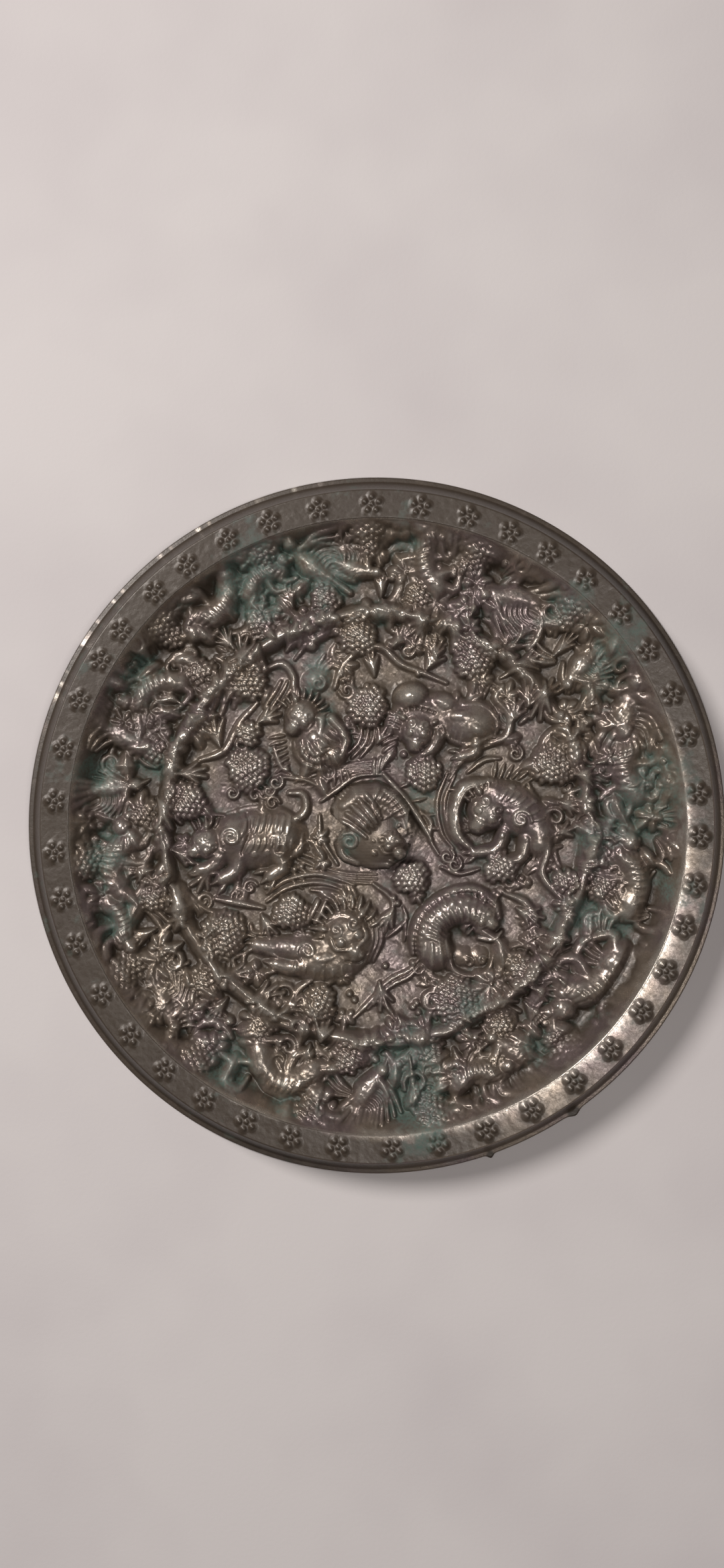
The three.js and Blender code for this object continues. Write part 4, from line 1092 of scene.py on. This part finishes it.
def edgePiece(material):
    # the band from the canvas, then the outside as a profile carried round the disc, with two small
    # lumps on its edge. The normals of the outside stand across the steps of the profile.
    turns, rows = grid["outerTurns"], grid["bandRows"]
    x, y = ringPoints(np.linspace(bandInner, bandOuter - disc["rimBevel"], rows), turns)
    z = sampled(height, x, y)
    r, h = edgeProfile()
    wallX, wallY = ringPoints(r, turns)
    wallZ = np.repeat(h, turns)
    onEdge = np.repeat((r > wallFoot + 0.2) * (h > 0.05), turns)
    for lumpAngle, reach in rim["spots"]:
        lumpX, lumpY = polar((lumpAngle, disc["faceRadius"]))[0]
        lump = onEdge * np.exp(-((wallX - lumpX) ** 2 + (wallY - lumpY) ** 2) / reach**2)
        wallX, wallY = wallX * (1 + rim["spotOut"] * lump), wallY * (1 + rim["spotOut"] * lump)
        wallZ = wallZ + rim["spotUp"] * lump * (wallZ > 0.5)
    slope = np.gradient(np.concatenate(((disc["rimHeight"],), h)))[1:]
    out = np.gradient(np.concatenate(((bandOuter - disc["rimBevel"],), r)))[1:]
    angle = np.tile(2 * math.pi * np.arange(turns) / turns, len(r))
    side, up = np.repeat(-slope, turns), np.repeat(out, turns)
    wallNormals = np.stack((side * np.cos(angle), side * np.sin(angle), up), axis=1)
    normals = np.concatenate((backNormals(x, y), wallNormals))
    normals /= np.linalg.norm(normals, axis=1, keepdims=True) + 1e-9
    values = backValues(x, y)
    # painted shade and dirt on the band: darker away from the bright angle, and round each flower
    values["shadeAndDirt"] = values["shadeAndDirt"] + rimShadeAndDirt(x, y, rim["shadeDirtMix"])
    depth = np.clip(np.sin(math.pi * np.clip((r - bandOuter) / (wallFoot - bandOuter), 0, 1)), 0, 1)
    degrees = np.degrees(angle)
    inFlecks = np.minimum(degrees - rim["flecks"][0], rim["flecks"][1] - degrees)
    flecked = np.clip(inFlecks / rim["fleckFade"], 0, 1) * (np.repeat(r, turns) > wallFoot)
    flecked = flecked * np.tile(smoothNoise((turns, 1), 5, 31)[:, 0], len(r))
    plain = {
        "crest": rim["fleckShine"] * np.clip(flecked, 0, None),
        # painted shade on the wall: darker away from the bright angle and in the middle of its hollow, and
        # dark at the lumps
        "shadeAndDirt": rimShadeAndDirt(wallX, wallY, rim["wallShadeAtBright"]) + np.repeat(rim["wallHollowShade"] * depth, turns),
        "green": greenAt(wallX, wallY),
    }
    values = {key: np.concatenate((values[key], plain[key])) for key in values}
    points = np.stack((np.append(x, wallX), np.append(y, wallY), np.append(z, wallZ)), axis=1)
    return newPiece("mirror_rim", points, ringFaces(rows + len(r), turns), normals, values, material)


def facePiece(material):
    # the polished face underneath: rings with fewer and fewer points, and a fan at the middle
    counts = (1664, 416, 104, 26)
    radii = (edgeProfile()[0][-1], 76.0, 50.0, 20.0)
    parts = [ringPoints([r], n) for r, n in zip(radii, counts)]
    x = np.concatenate([p[0] for p in parts] + [np.zeros(1)])
    y = np.concatenate([p[1] for p in parts] + [np.zeros(1)])
    starts = np.concatenate(((0,), np.cumsum(counts)))
    faces = [zipFaces(starts[k], counts[k], starts[k + 1], counts[k + 1]) for k in range(3)]
    k = np.arange(counts[-1])
    faces.append(np.stack((starts[3] + k, np.full(len(k), starts[4]), starts[3] + (k + 1) % counts[-1]),
                          -1))
    points = np.stack((x, y, np.zeros_like(x)), axis=1)
    zero = np.zeros_like(x)
    values = {"crest": zero, "shadeAndDirt": zero, "green": greenAt(x, y)}
    faces = np.concatenate(faces)
    down = np.tile((0.0, 0.0, -1.0), (len(x), 1))
    return newPiece("mirror_face", points, faces, down, values, material)


verdigris = {
    # middle and reach of each green patch, in millimetres
    "spots": ((-14, 35, 5), (11, 6, 4), (-7, -4, 3.4), (22, -42, 5), (51, -3, 4), (-29, 60, 9),
              (-17, 63, 7), (-8, 58, 5), (-30, 54, 6), (66, 6, 8), (68, 16, 7), (62, 2, 6), (50, -21, 5),
              (58, -24, 4), (37, -52, 4), (8, -55, 7), (10, -64, 8), (11, -72, 5), (-34, -58, 7),
              (-22, -64, 5), (-64, -8, 6), (-66, 12, 6), (-60, -22, 5), (52, 34, 6), (56, 44, 6),
              (-52, 14, 4), (-56, 36, 5), (6, 68, 5), (44, 52, 5), (70, -14, 5), (0, 50, 3), (-12, 26, 3)),
    "strength": 1.0,
}


def greenAt(x, y):
    # how green the crust is: soft round patches added up, at most 1
    total = np.zeros_like(x)
    for cx, cy, reach in verdigris["spots"]:
        total += np.exp(-((x - cx) ** 2 + (y - cy) ** 2) / reach**2)
    return np.clip(total, 0, 1) * verdigris["strength"]


knob = {
    "place": (-1.5, -0.8),
    "rise": disc["topHeight"] - disc["plate"] - 0.4,
    "tunnelWidth": 7.0,
    "tunnelRise": 5.4,
    "tunnelFloor": -1.2,  # below the ground, so that the cut leaves nothing at the mouths
    "tunnelReach": 20.0,  # to each side, well past the knob
    "mouthFrom": 8.6,  # from this distance the ground before a mouth is bare
    "mouthMargin": 1.6,
    "mouthFade": 1.2,
    "pitch": 0.16,
    "root": 0.25,  # how far it runs down into the ground
    "flankShade": 0.9,  # how much more painted shade its foot has than its top
}


def knobHeights():
    # the crouching beast: a broad domed body, a high haunch with broad ribs at the upper left, a
    # bent back along the top, and the head at the lower right. Paws lie at the bottom, a curled
    # haunch on the left, and a strand with short ribs runs down the right. The whole is worn by a
    # light blur and brought back to its height, and the ground before both mouths is cleared.
    b = Board(15.0, 0.1, knob["place"])
    rise = knob["rise"]
    b.mound((-1.5, 0.0), 21.8, 19.0, -52, rise * 0.8, "blend", 0.42)
    b.stroke(((-7.6, 4.6), (-3.6, 6.8), (1.4, 6.4), (5.0, 3.4), (6.6, -1)), 8.4, rise * 0.78,
             (0.7, 1, 1, 1, 0.7), "blend", 1.0)
    b.mound((-2.6, 2.0), 15.4, 12.4, -45, rise, "blend", 1.1)
    b.mound((-7.0, -3.2), 8, 7.6, 90, rise * 0.62, "blend", 0.9)
    b.comb(((-8.4, 1.2), (-6.0, 4.8), (-2.8, 7.6)), 7.0, (-30, -54), 5, 1.9, 1.25, -16)
    b.comb(((0.4, 9), (4.4, 7.4), (7.2, 3.4)), 3.0, (246, 205), 7, 1.0, 0.6)
    b.comb(((1, 4.6), (4, 3.4)), 3.0, (235, 215), 4, 1.2, 0.6)
    b.stroke(((-4.4, -5.8), (-1.8, -8.6), (2.2, -9)), 3.4, rise * 0.5, (1, 0.9, 0.8), "blend")
    b.comb(((2.4, -9.8), (2.8, -8.2)), 1.6, (-50, -10), 3, 0.9, 0.6)
    b.stroke(((-9, -3.6), (-8, -7), (-4.6, -8.6)), 3.2, rise * 0.46, (1, 0.9, 0.8), "blend")
    b.curl((-6.6, -3.6), 4.4, 60, 1, 1.1, 0.8, 1.2, "on")
    face(b, np.array((3.2, -3.4)), -58, 8.8, rise * 0.92)
    b.mound((-7.5, -0.6), 2.4, 2.0, 0, 1.6, "cut", 1.0)
    b.beads(((-0.8, -6.4), (-3, 0.2)), 1.6, 0.7)
    b.stroke(((1.6, 8.6), (5.6, 5.4), (8.0, 0.8), (8.4, -3.2)), 1.8, 1.2, (0.5, 1, 1, 0.5), "on")
    b.comb(((-9, 6.6), (-6.4, 9.6)), 2.6, (150, 110), 5, 1.1, 0.9)
    b.rise = blurred(b.rise, 1.5)
    b.rise *= rise / b.rise.max()
    away = np.abs(np.arange(b.count) * b.pitch - b.half)
    outside = np.clip((away[None, :] - knob["mouthFrom"]) / knob["mouthFade"], 0, 1)
    clear = knob["tunnelWidth"] / 2 + knob["mouthMargin"]
    b.rise *= 1 - outside * np.clip((clear - away[:, None]) / knob["mouthFade"], 0, 1)
    return b


def knobPiece(material):
    # the heights on a grid make the top, a flat sheet below closes it, and the arched cord tunnel
    # is cut through along X
    b = knobHeights()
    n = int(2 * b.half / knob["pitch"])
    side = np.linspace(-b.half + 0.05, b.half - 0.05, n)
    x, y = np.meshgrid(side + b.centre[0], side + b.centre[1], indexing="xy")
    z = b.rise[b.cell(x, y)]
    inside = z > 0.02
    i, k = np.nonzero(inside[:-1, :-1] | inside[1:, :-1] | inside[:-1, 1:] | inside[1:, 1:])
    a = i * n + k
    top = np.stack((a, a + 1, a + n + 1, a + n), -1)
    used, order = np.unique(top, return_inverse=True)
    top = order.reshape(-1, 4)
    count = len(used)
    z = disc["plate"] - knob["root"] + z
    points = np.stack((x.ravel()[used], y.ravel()[used], z.ravel()[used]), axis=1)
    base = points.copy()
    base[:, 2] = disc["plate"] - 2 * knob["root"]
    edges = np.concatenate([top[:, [p, (p + 1) % 4]] for p in range(4)])
    key = edges[:, 0].astype(np.int64) * count + edges[:, 1]
    twin = edges[:, 1].astype(np.int64) * count + edges[:, 0]
    start, end = edges[~np.isin(key, twin)].T
    wall = np.stack((end, start, start + count, end + count), -1)
    faces = np.concatenate((top, top[:, ::-1] + count, wall))
    points = np.concatenate((points, base))
    piece = newPiece("mirror_knob", points, faces, None, {}, material)
    cutTunnel(piece)
    mesh = piece.data
    place = np.empty(len(mesh.vertices) * 3)
    mesh.vertices.foreach_get("co", place)
    place = place.reshape(-1, 3) / metre
    here = b.cell(place[:, 0], place[:, 1])
    relief = b.rise - blurred(b.rise, wearShadeAndDirt["near"])
    # painted shade: places below the top surface, in the cord tunnel and along the sunk foot, are darkened,
    # and the low flanks darker still
    depth = np.clip((disc["plate"] + b.rise[here] - 0.6 - place[:, 2]) / 2, 0, 1)
    depth += knob["flankShade"] * np.clip(1 - b.rise[here] / knob["rise"], 0, 1) ** 1.2
    green = greenAt(place[:, 0], place[:, 1])
    setValues(mesh, {"crest": relief[here], "shadeAndDirt": depth, "green": green})
    mesh.shade_smooth()
    mesh.set_sharp_from_angle(angle=math.radians(60))
    return piece


def cutTunnel(piece):
    # takes the arched tunnel out of the knob: straight sides under a half circle, along X
    half, top = knob["tunnelWidth"] / 2, knob["tunnelRise"]
    turn = np.linspace(0, math.pi, 25)
    floor, reach = knob["tunnelFloor"], knob["tunnelReach"]
    y = np.concatenate(((half,), half * np.cos(turn), (-half,))) + knob["place"][1]
    z = np.concatenate(((floor,), top - half + half * np.sin(turn), (floor,))) + disc["plate"]
    n = len(y)
    points = [(x + knob["place"][0], *yz) for x in (-reach, reach) for yz in zip(y, z)]
    faces = [list(range(n - 1, -1, -1)), list(range(n, 2 * n))]
    faces += [[k, (k + 1) % n, (k + 1) % n + n, k + n] for k in range(n)]
    mesh = bpy.data.meshes.new("tunnel_cutter")
    mesh.from_pydata([tuple(c * metre for c in p) for p in points], [], faces)
    mesh.update()
    cutter = newObject("tunnel_cutter", mesh)
    cut = piece.modifiers.new("tunnel", "BOOLEAN")
    cut.operation, cut.object, cut.solver = "DIFFERENCE", cutter, "EXACT"
    graph = bpy.context.evaluated_depsgraph_get()
    result = bpy.data.meshes.new_from_object(piece.evaluated_get(graph))
    piece.modifiers.clear()
    piece.data = result
    bpy.data.objects.remove(cutter)
    print("cut the cord tunnel", len(result.polygons), "faces")


def socketOf(group, kind, name, way, value=None):
    # one input or output of a node group
    made = group.interface.new_socket(name=name, in_out=way, socket_type=kind)
    if value is not None:
        made.default_value = value


def linkAll(tree, pairs):
    for source, target in pairs:
        tree.links.new(source, target)


def feed(tree, value, socket):
    # links an output to the socket, or sets the socket to a plain value
    if hasattr(value, "is_linked"):
        tree.links.new(value, socket)
    else:
        socket.default_value = value


def mixColour(tree, factor, a, b):
    # the first colour where the factor is 0, the second where it is 1
    node = tree.nodes.new("ShaderNodeMix")
    node.data_type = "RGBA"
    for value, name in ((factor, "Factor"), (a, "A"), (b, "B")):
        feed(tree, value, next(s for s in node.inputs if s.name == name and s.enabled))
    return next(s for s in node.outputs if s.enabled)


def maths(tree, operation, *values, clamp=False):
    node = tree.nodes.new("ShaderNodeMath")
    node.operation, node.use_clamp = operation, clamp
    for value, socket in zip(values, node.inputs):
        feed(tree, value, socket)
    return node.outputs[0]


def ranged(tree, value, low, high, toLow=0.0, toHigh=1.0):
    # the value carried evenly from one range to the other, and held at its ends
    node = tree.nodes.new("ShaderNodeMapRange")
    node.clamp = True
    tree.links.new(value, node.inputs["Value"])
    for name, number in (("From Min", low), ("From Max", high), ("To Min", toLow), ("To Max", toHigh)):
        node.inputs[name].default_value = number
    return node.outputs["Result"]


def noiseOf(tree, place, scale, detail=4.0, rough=0.55):
    node = tree.nodes.new("ShaderNodeTexNoise")
    node.inputs["Scale"].default_value = scale
    node.inputs["Detail"].default_value = detail
    node.inputs["Roughness"].default_value = rough
    tree.links.new(place, node.inputs["Vector"])
    return node.outputs["Fac"]


def bronzePatinaGroup():
    # old cast bronze: brown metal that is worn bright on the crests, a dark brown for dirt together with
    # painted shade in the hollows and wherever the darkening value says, blotches of purple-brown tone, and
    # a green crust where the green value and noise allow it
    group = bpy.data.node_groups.new("bronzePatina", "ShaderNodeTree")
    socketOf(group, "NodeSocketVector", "Place", "INPUT")
    for name in ("Crest", "ShadeAndDirt", "Green"):
        socketOf(group, "NodeSocketFloat", name, "INPUT", 0.0)
    for name, colour in (
        ("Metal", (0.162, 0.125, 0.095, 1)), ("Worn", (0.322, 0.282, 0.240, 1)),
        ("ShadeDirt", (0.038, 0.026, 0.017, 1)),
        ("Tone", (0.143, 0.106, 0.099, 1)), ("Crust", (0.040, 0.074, 0.058, 1)),
    ):
        socketOf(group, "NodeSocketColor", name, "INPUT", colour)
    socketOf(group, "NodeSocketColor", "Color", "OUTPUT")
    for name in ("Roughness", "Metallic", "Height"):
        socketOf(group, "NodeSocketFloat", name, "OUTPUT")
    inside, outside = group.nodes.new("NodeGroupInput"), group.nodes.new("NodeGroupOutput")
    place, crest, shadeAndDirt, green, metalColour, wornColour, shadeDirtColour, toneColour, crustColour = (
        socket for socket in inside.outputs if socket.name
    )

    def add(*values, clamp=False):
        return maths(group, "ADD", *values, clamp=clamp)

    def less(*values, clamp=False):
        return maths(group, "SUBTRACT", *values, clamp=clamp)

    def times(*values):
        return maths(group, "MULTIPLY", *values)

    blotch = noiseOf(group, place, 60, 3)
    cloud = noiseOf(group, place, 260, 5)
    grain = noiseOf(group, place, 1500, 4, 0.6)
    fine = noiseOf(group, place, 4200, 2, 0.5)
    worn = ranged(group, add(crest, ranged(group, cloud, 0.35, 0.65, -0.25, 0.25)), 0.1, 1.1)
    # painted shade together with dirt: where the darkening value is high, the colour goes to the dark brown
    # of dirt and shade
    shadeDirtMix = less(shadeAndDirt, times(crest, 0.7))
    shadeDirtMix = ranged(group, add(shadeDirtMix, ranged(group, cloud, 0.3, 0.7, -0.2, 0.2)), 0.0, 0.75)
    base = mixColour(group, ranged(group, blotch, 0.42, 0.62), metalColour, toneColour)
    base = mixColour(group, worn, base, wornColour)
    base = mixColour(group, times(shadeDirtMix, 0.96), base, shadeDirtColour)
    spread = add(green, ranged(group, cloud, 0.3, 0.7, -0.45, 0.45))
    spread = add(less(spread, times(crest, 0.35)), ranged(group, blotch, 0.35, 0.6, -0.5, 0.1))
    crust = times(ranged(group, spread, 0.2, 0.9), ranged(group, grain, 0.35, 0.6, 0.35, 1.0))
    colour = mixColour(group, times(crust, 0.75), base, crustColour)
    rough = less(add(ranged(group, grain, 0.3, 0.7, 0.25, 0.40), times(shadeDirtMix, 0.12)), times(worn, 0.06))
    rough = add(rough, times(crust, 0.3), clamp=True)
    metal = less(less(0.62, times(crust, 0.5)), times(shadeDirtMix, 0.35), clamp=True)
    bumps = add(times(grain, 0.7), times(fine, 0.3))
    linkAll(group, (
        (colour, outside.inputs["Color"]), (rough, outside.inputs["Roughness"]),
        (metal, outside.inputs["Metallic"]),
        (bumps, outside.inputs["Height"]),
    ))
    return group


def bronzeMaterial(name, group, colours=None, depth=0.00012):
    # the patina on a material of its own, with other colours where they are given; depth is of the
    # grain, in metres
    made = bpy.data.materials.new(name)
    made.use_nodes = True
    tree = made.node_tree
    shader = tree.nodes["Principled BSDF"]
    patina = tree.nodes.new("ShaderNodeGroup")
    patina.node_tree = group
    place = tree.nodes.new("ShaderNodeTexCoord")
    tree.links.new(place.outputs["Object"], patina.inputs["Place"])
    for key, socket in (("crest", "Crest"), ("shadeAndDirt", "ShadeAndDirt"), ("green", "Green")):
        value = tree.nodes.new("ShaderNodeAttribute")
        value.attribute_name = key
        tree.links.new(value.outputs["Fac"], patina.inputs[socket])
    for key, colour in (colours or {}).items():
        patina.inputs[key].default_value = colour
    bump = tree.nodes.new("ShaderNodeBump")
    bump.inputs["Strength"].default_value = 0.5
    bump.inputs["Distance"].default_value = depth
    linkAll(tree, (
        (patina.outputs["Color"], shader.inputs["Base Color"]),
        (patina.outputs["Roughness"], shader.inputs["Roughness"]),
        (patina.outputs["Metallic"], shader.inputs["Metallic"]),
        (patina.outputs["Height"], bump.inputs["Height"]),
        (bump.outputs["Normal"], shader.inputs["Normal"]),
    ))
    return made


paper = {
    "colour": (0.43, 0.388, 0.372, 1),
    "shade": (0.395, 0.353, 0.342, 1),
    "half": 2.5,  # metres
}


def floorStage():
    # a wide pale sheet under the mirror, a little uneven in tone
    mesh = bpy.data.meshes.new("floor")
    half = paper["half"]
    mesh.from_pydata([(-half, -half, 0), (half, -half, 0), (half, half, 0), (-half, half, 0)], [],
                     [(0, 1, 2, 3)])
    floor = newObject("floor", mesh)
    made = bpy.data.materials.new("paleFloor")
    made.use_nodes = True
    tree = made.node_tree
    shader = tree.nodes["Principled BSDF"]
    place = tree.nodes.new("ShaderNodeTexCoord").outputs["Object"]
    tone = mixColour(tree, ranged(tree, noiseOf(tree, place, 14, 3), 0.4, 0.65), paper["colour"],
                     paper["shade"])
    tree.links.new(tone, shader.inputs["Base Color"])
    shader.inputs["Roughness"].default_value = 0.9
    bump = tree.nodes.new("ShaderNodeBump")
    bump.inputs["Strength"].default_value = 0.15
    bump.inputs["Distance"].default_value = 0.0002
    tree.links.new(noiseOf(tree, place, 900, 5), bump.inputs["Height"])
    tree.links.new(bump.outputs["Normal"], shader.inputs["Normal"])
    mesh.materials.append(made)


light = {
    "key": {"azimuth": 140, "elevation": 48, "away": 0.9, "size": 0.26, "watts": 9.6},
    "ceiling": {"place": (0.20, -0.12, 0.75), "size": 0.16, "watts": 2.6, "aim": (0.03, -0.02, 0)},
    "room": (0.42, 0.40, 0.40),
    "roomStrength": 0.25,
}


def areaLight(name, place, size, watts, aim=(0, 0, 0)):
    # a round lamp that faces its aim: tipped by the angle off straight down, then turned to it
    lamp = bpy.data.lights.new(name, "AREA")
    lamp.shape, lamp.size, lamp.energy = "DISK", size, watts
    holder = newObject(name, lamp)
    holder.location = place
    way = np.array(aim) - np.array(place)
    flat = math.hypot(way[0], way[1])
    holder.rotation_euler = (math.atan2(flat, -way[2]), 0, math.atan2(way[1], way[0]) - math.pi / 2)


def lights():
    key = light["key"]
    a, e = math.radians(key["azimuth"]), math.radians(key["elevation"])
    place = key["away"] * np.array((math.cos(e) * math.cos(a), math.cos(e) * math.sin(a), math.sin(e)))
    areaLight("keyLight", place, key["size"], key["watts"])
    ceiling = light["ceiling"]
    areaLight("ceilingLight", ceiling["place"], ceiling["size"], ceiling["watts"], ceiling["aim"])
    world = bpy.data.worlds.new("room")
    bpy.context.scene.world = world
    world.use_nodes = True
    node = world.node_tree.nodes["Background"]
    node.inputs["Color"].default_value = (*light["room"], 1)
    node.inputs["Strength"].default_value = light["roomStrength"]


def camera():
    # straight down; the field of view is set by the width of the picture on the face's plane
    lens = bpy.data.cameras.new("camera")
    eye = np.array(view["eye"])
    lens.sensor_fit, lens.sensor_width = "HORIZONTAL", 36
    lens.lens = 36 * eye[2] / view["frameWidth"]
    lens.clip_end = 20
    holder = newObject("camera", lens)
    holder.location = eye * metre
    bpy.context.scene.camera = holder
    bpy.context.scene.view_settings.view_transform = "Standard"


patina = bronzePatinaGroup()
agedBronze = bronzeMaterial("agedBronze", patina)
faceColours = {"Metal": (0.30, 0.29, 0.27, 1), "Tone": (0.22, 0.22, 0.20, 1)}
mirrorFace = bronzeMaterial("mirrorFace", patina, faceColours, 0.00004)
centrePiece(agedBronze)
fieldPieces(agedBronze)
edgePiece(agedBronze)
facePiece(mirrorFace)
knobPiece(agedBronze)
floorStage()
lights()
camera()
print("made the materials, the lights and the camera")
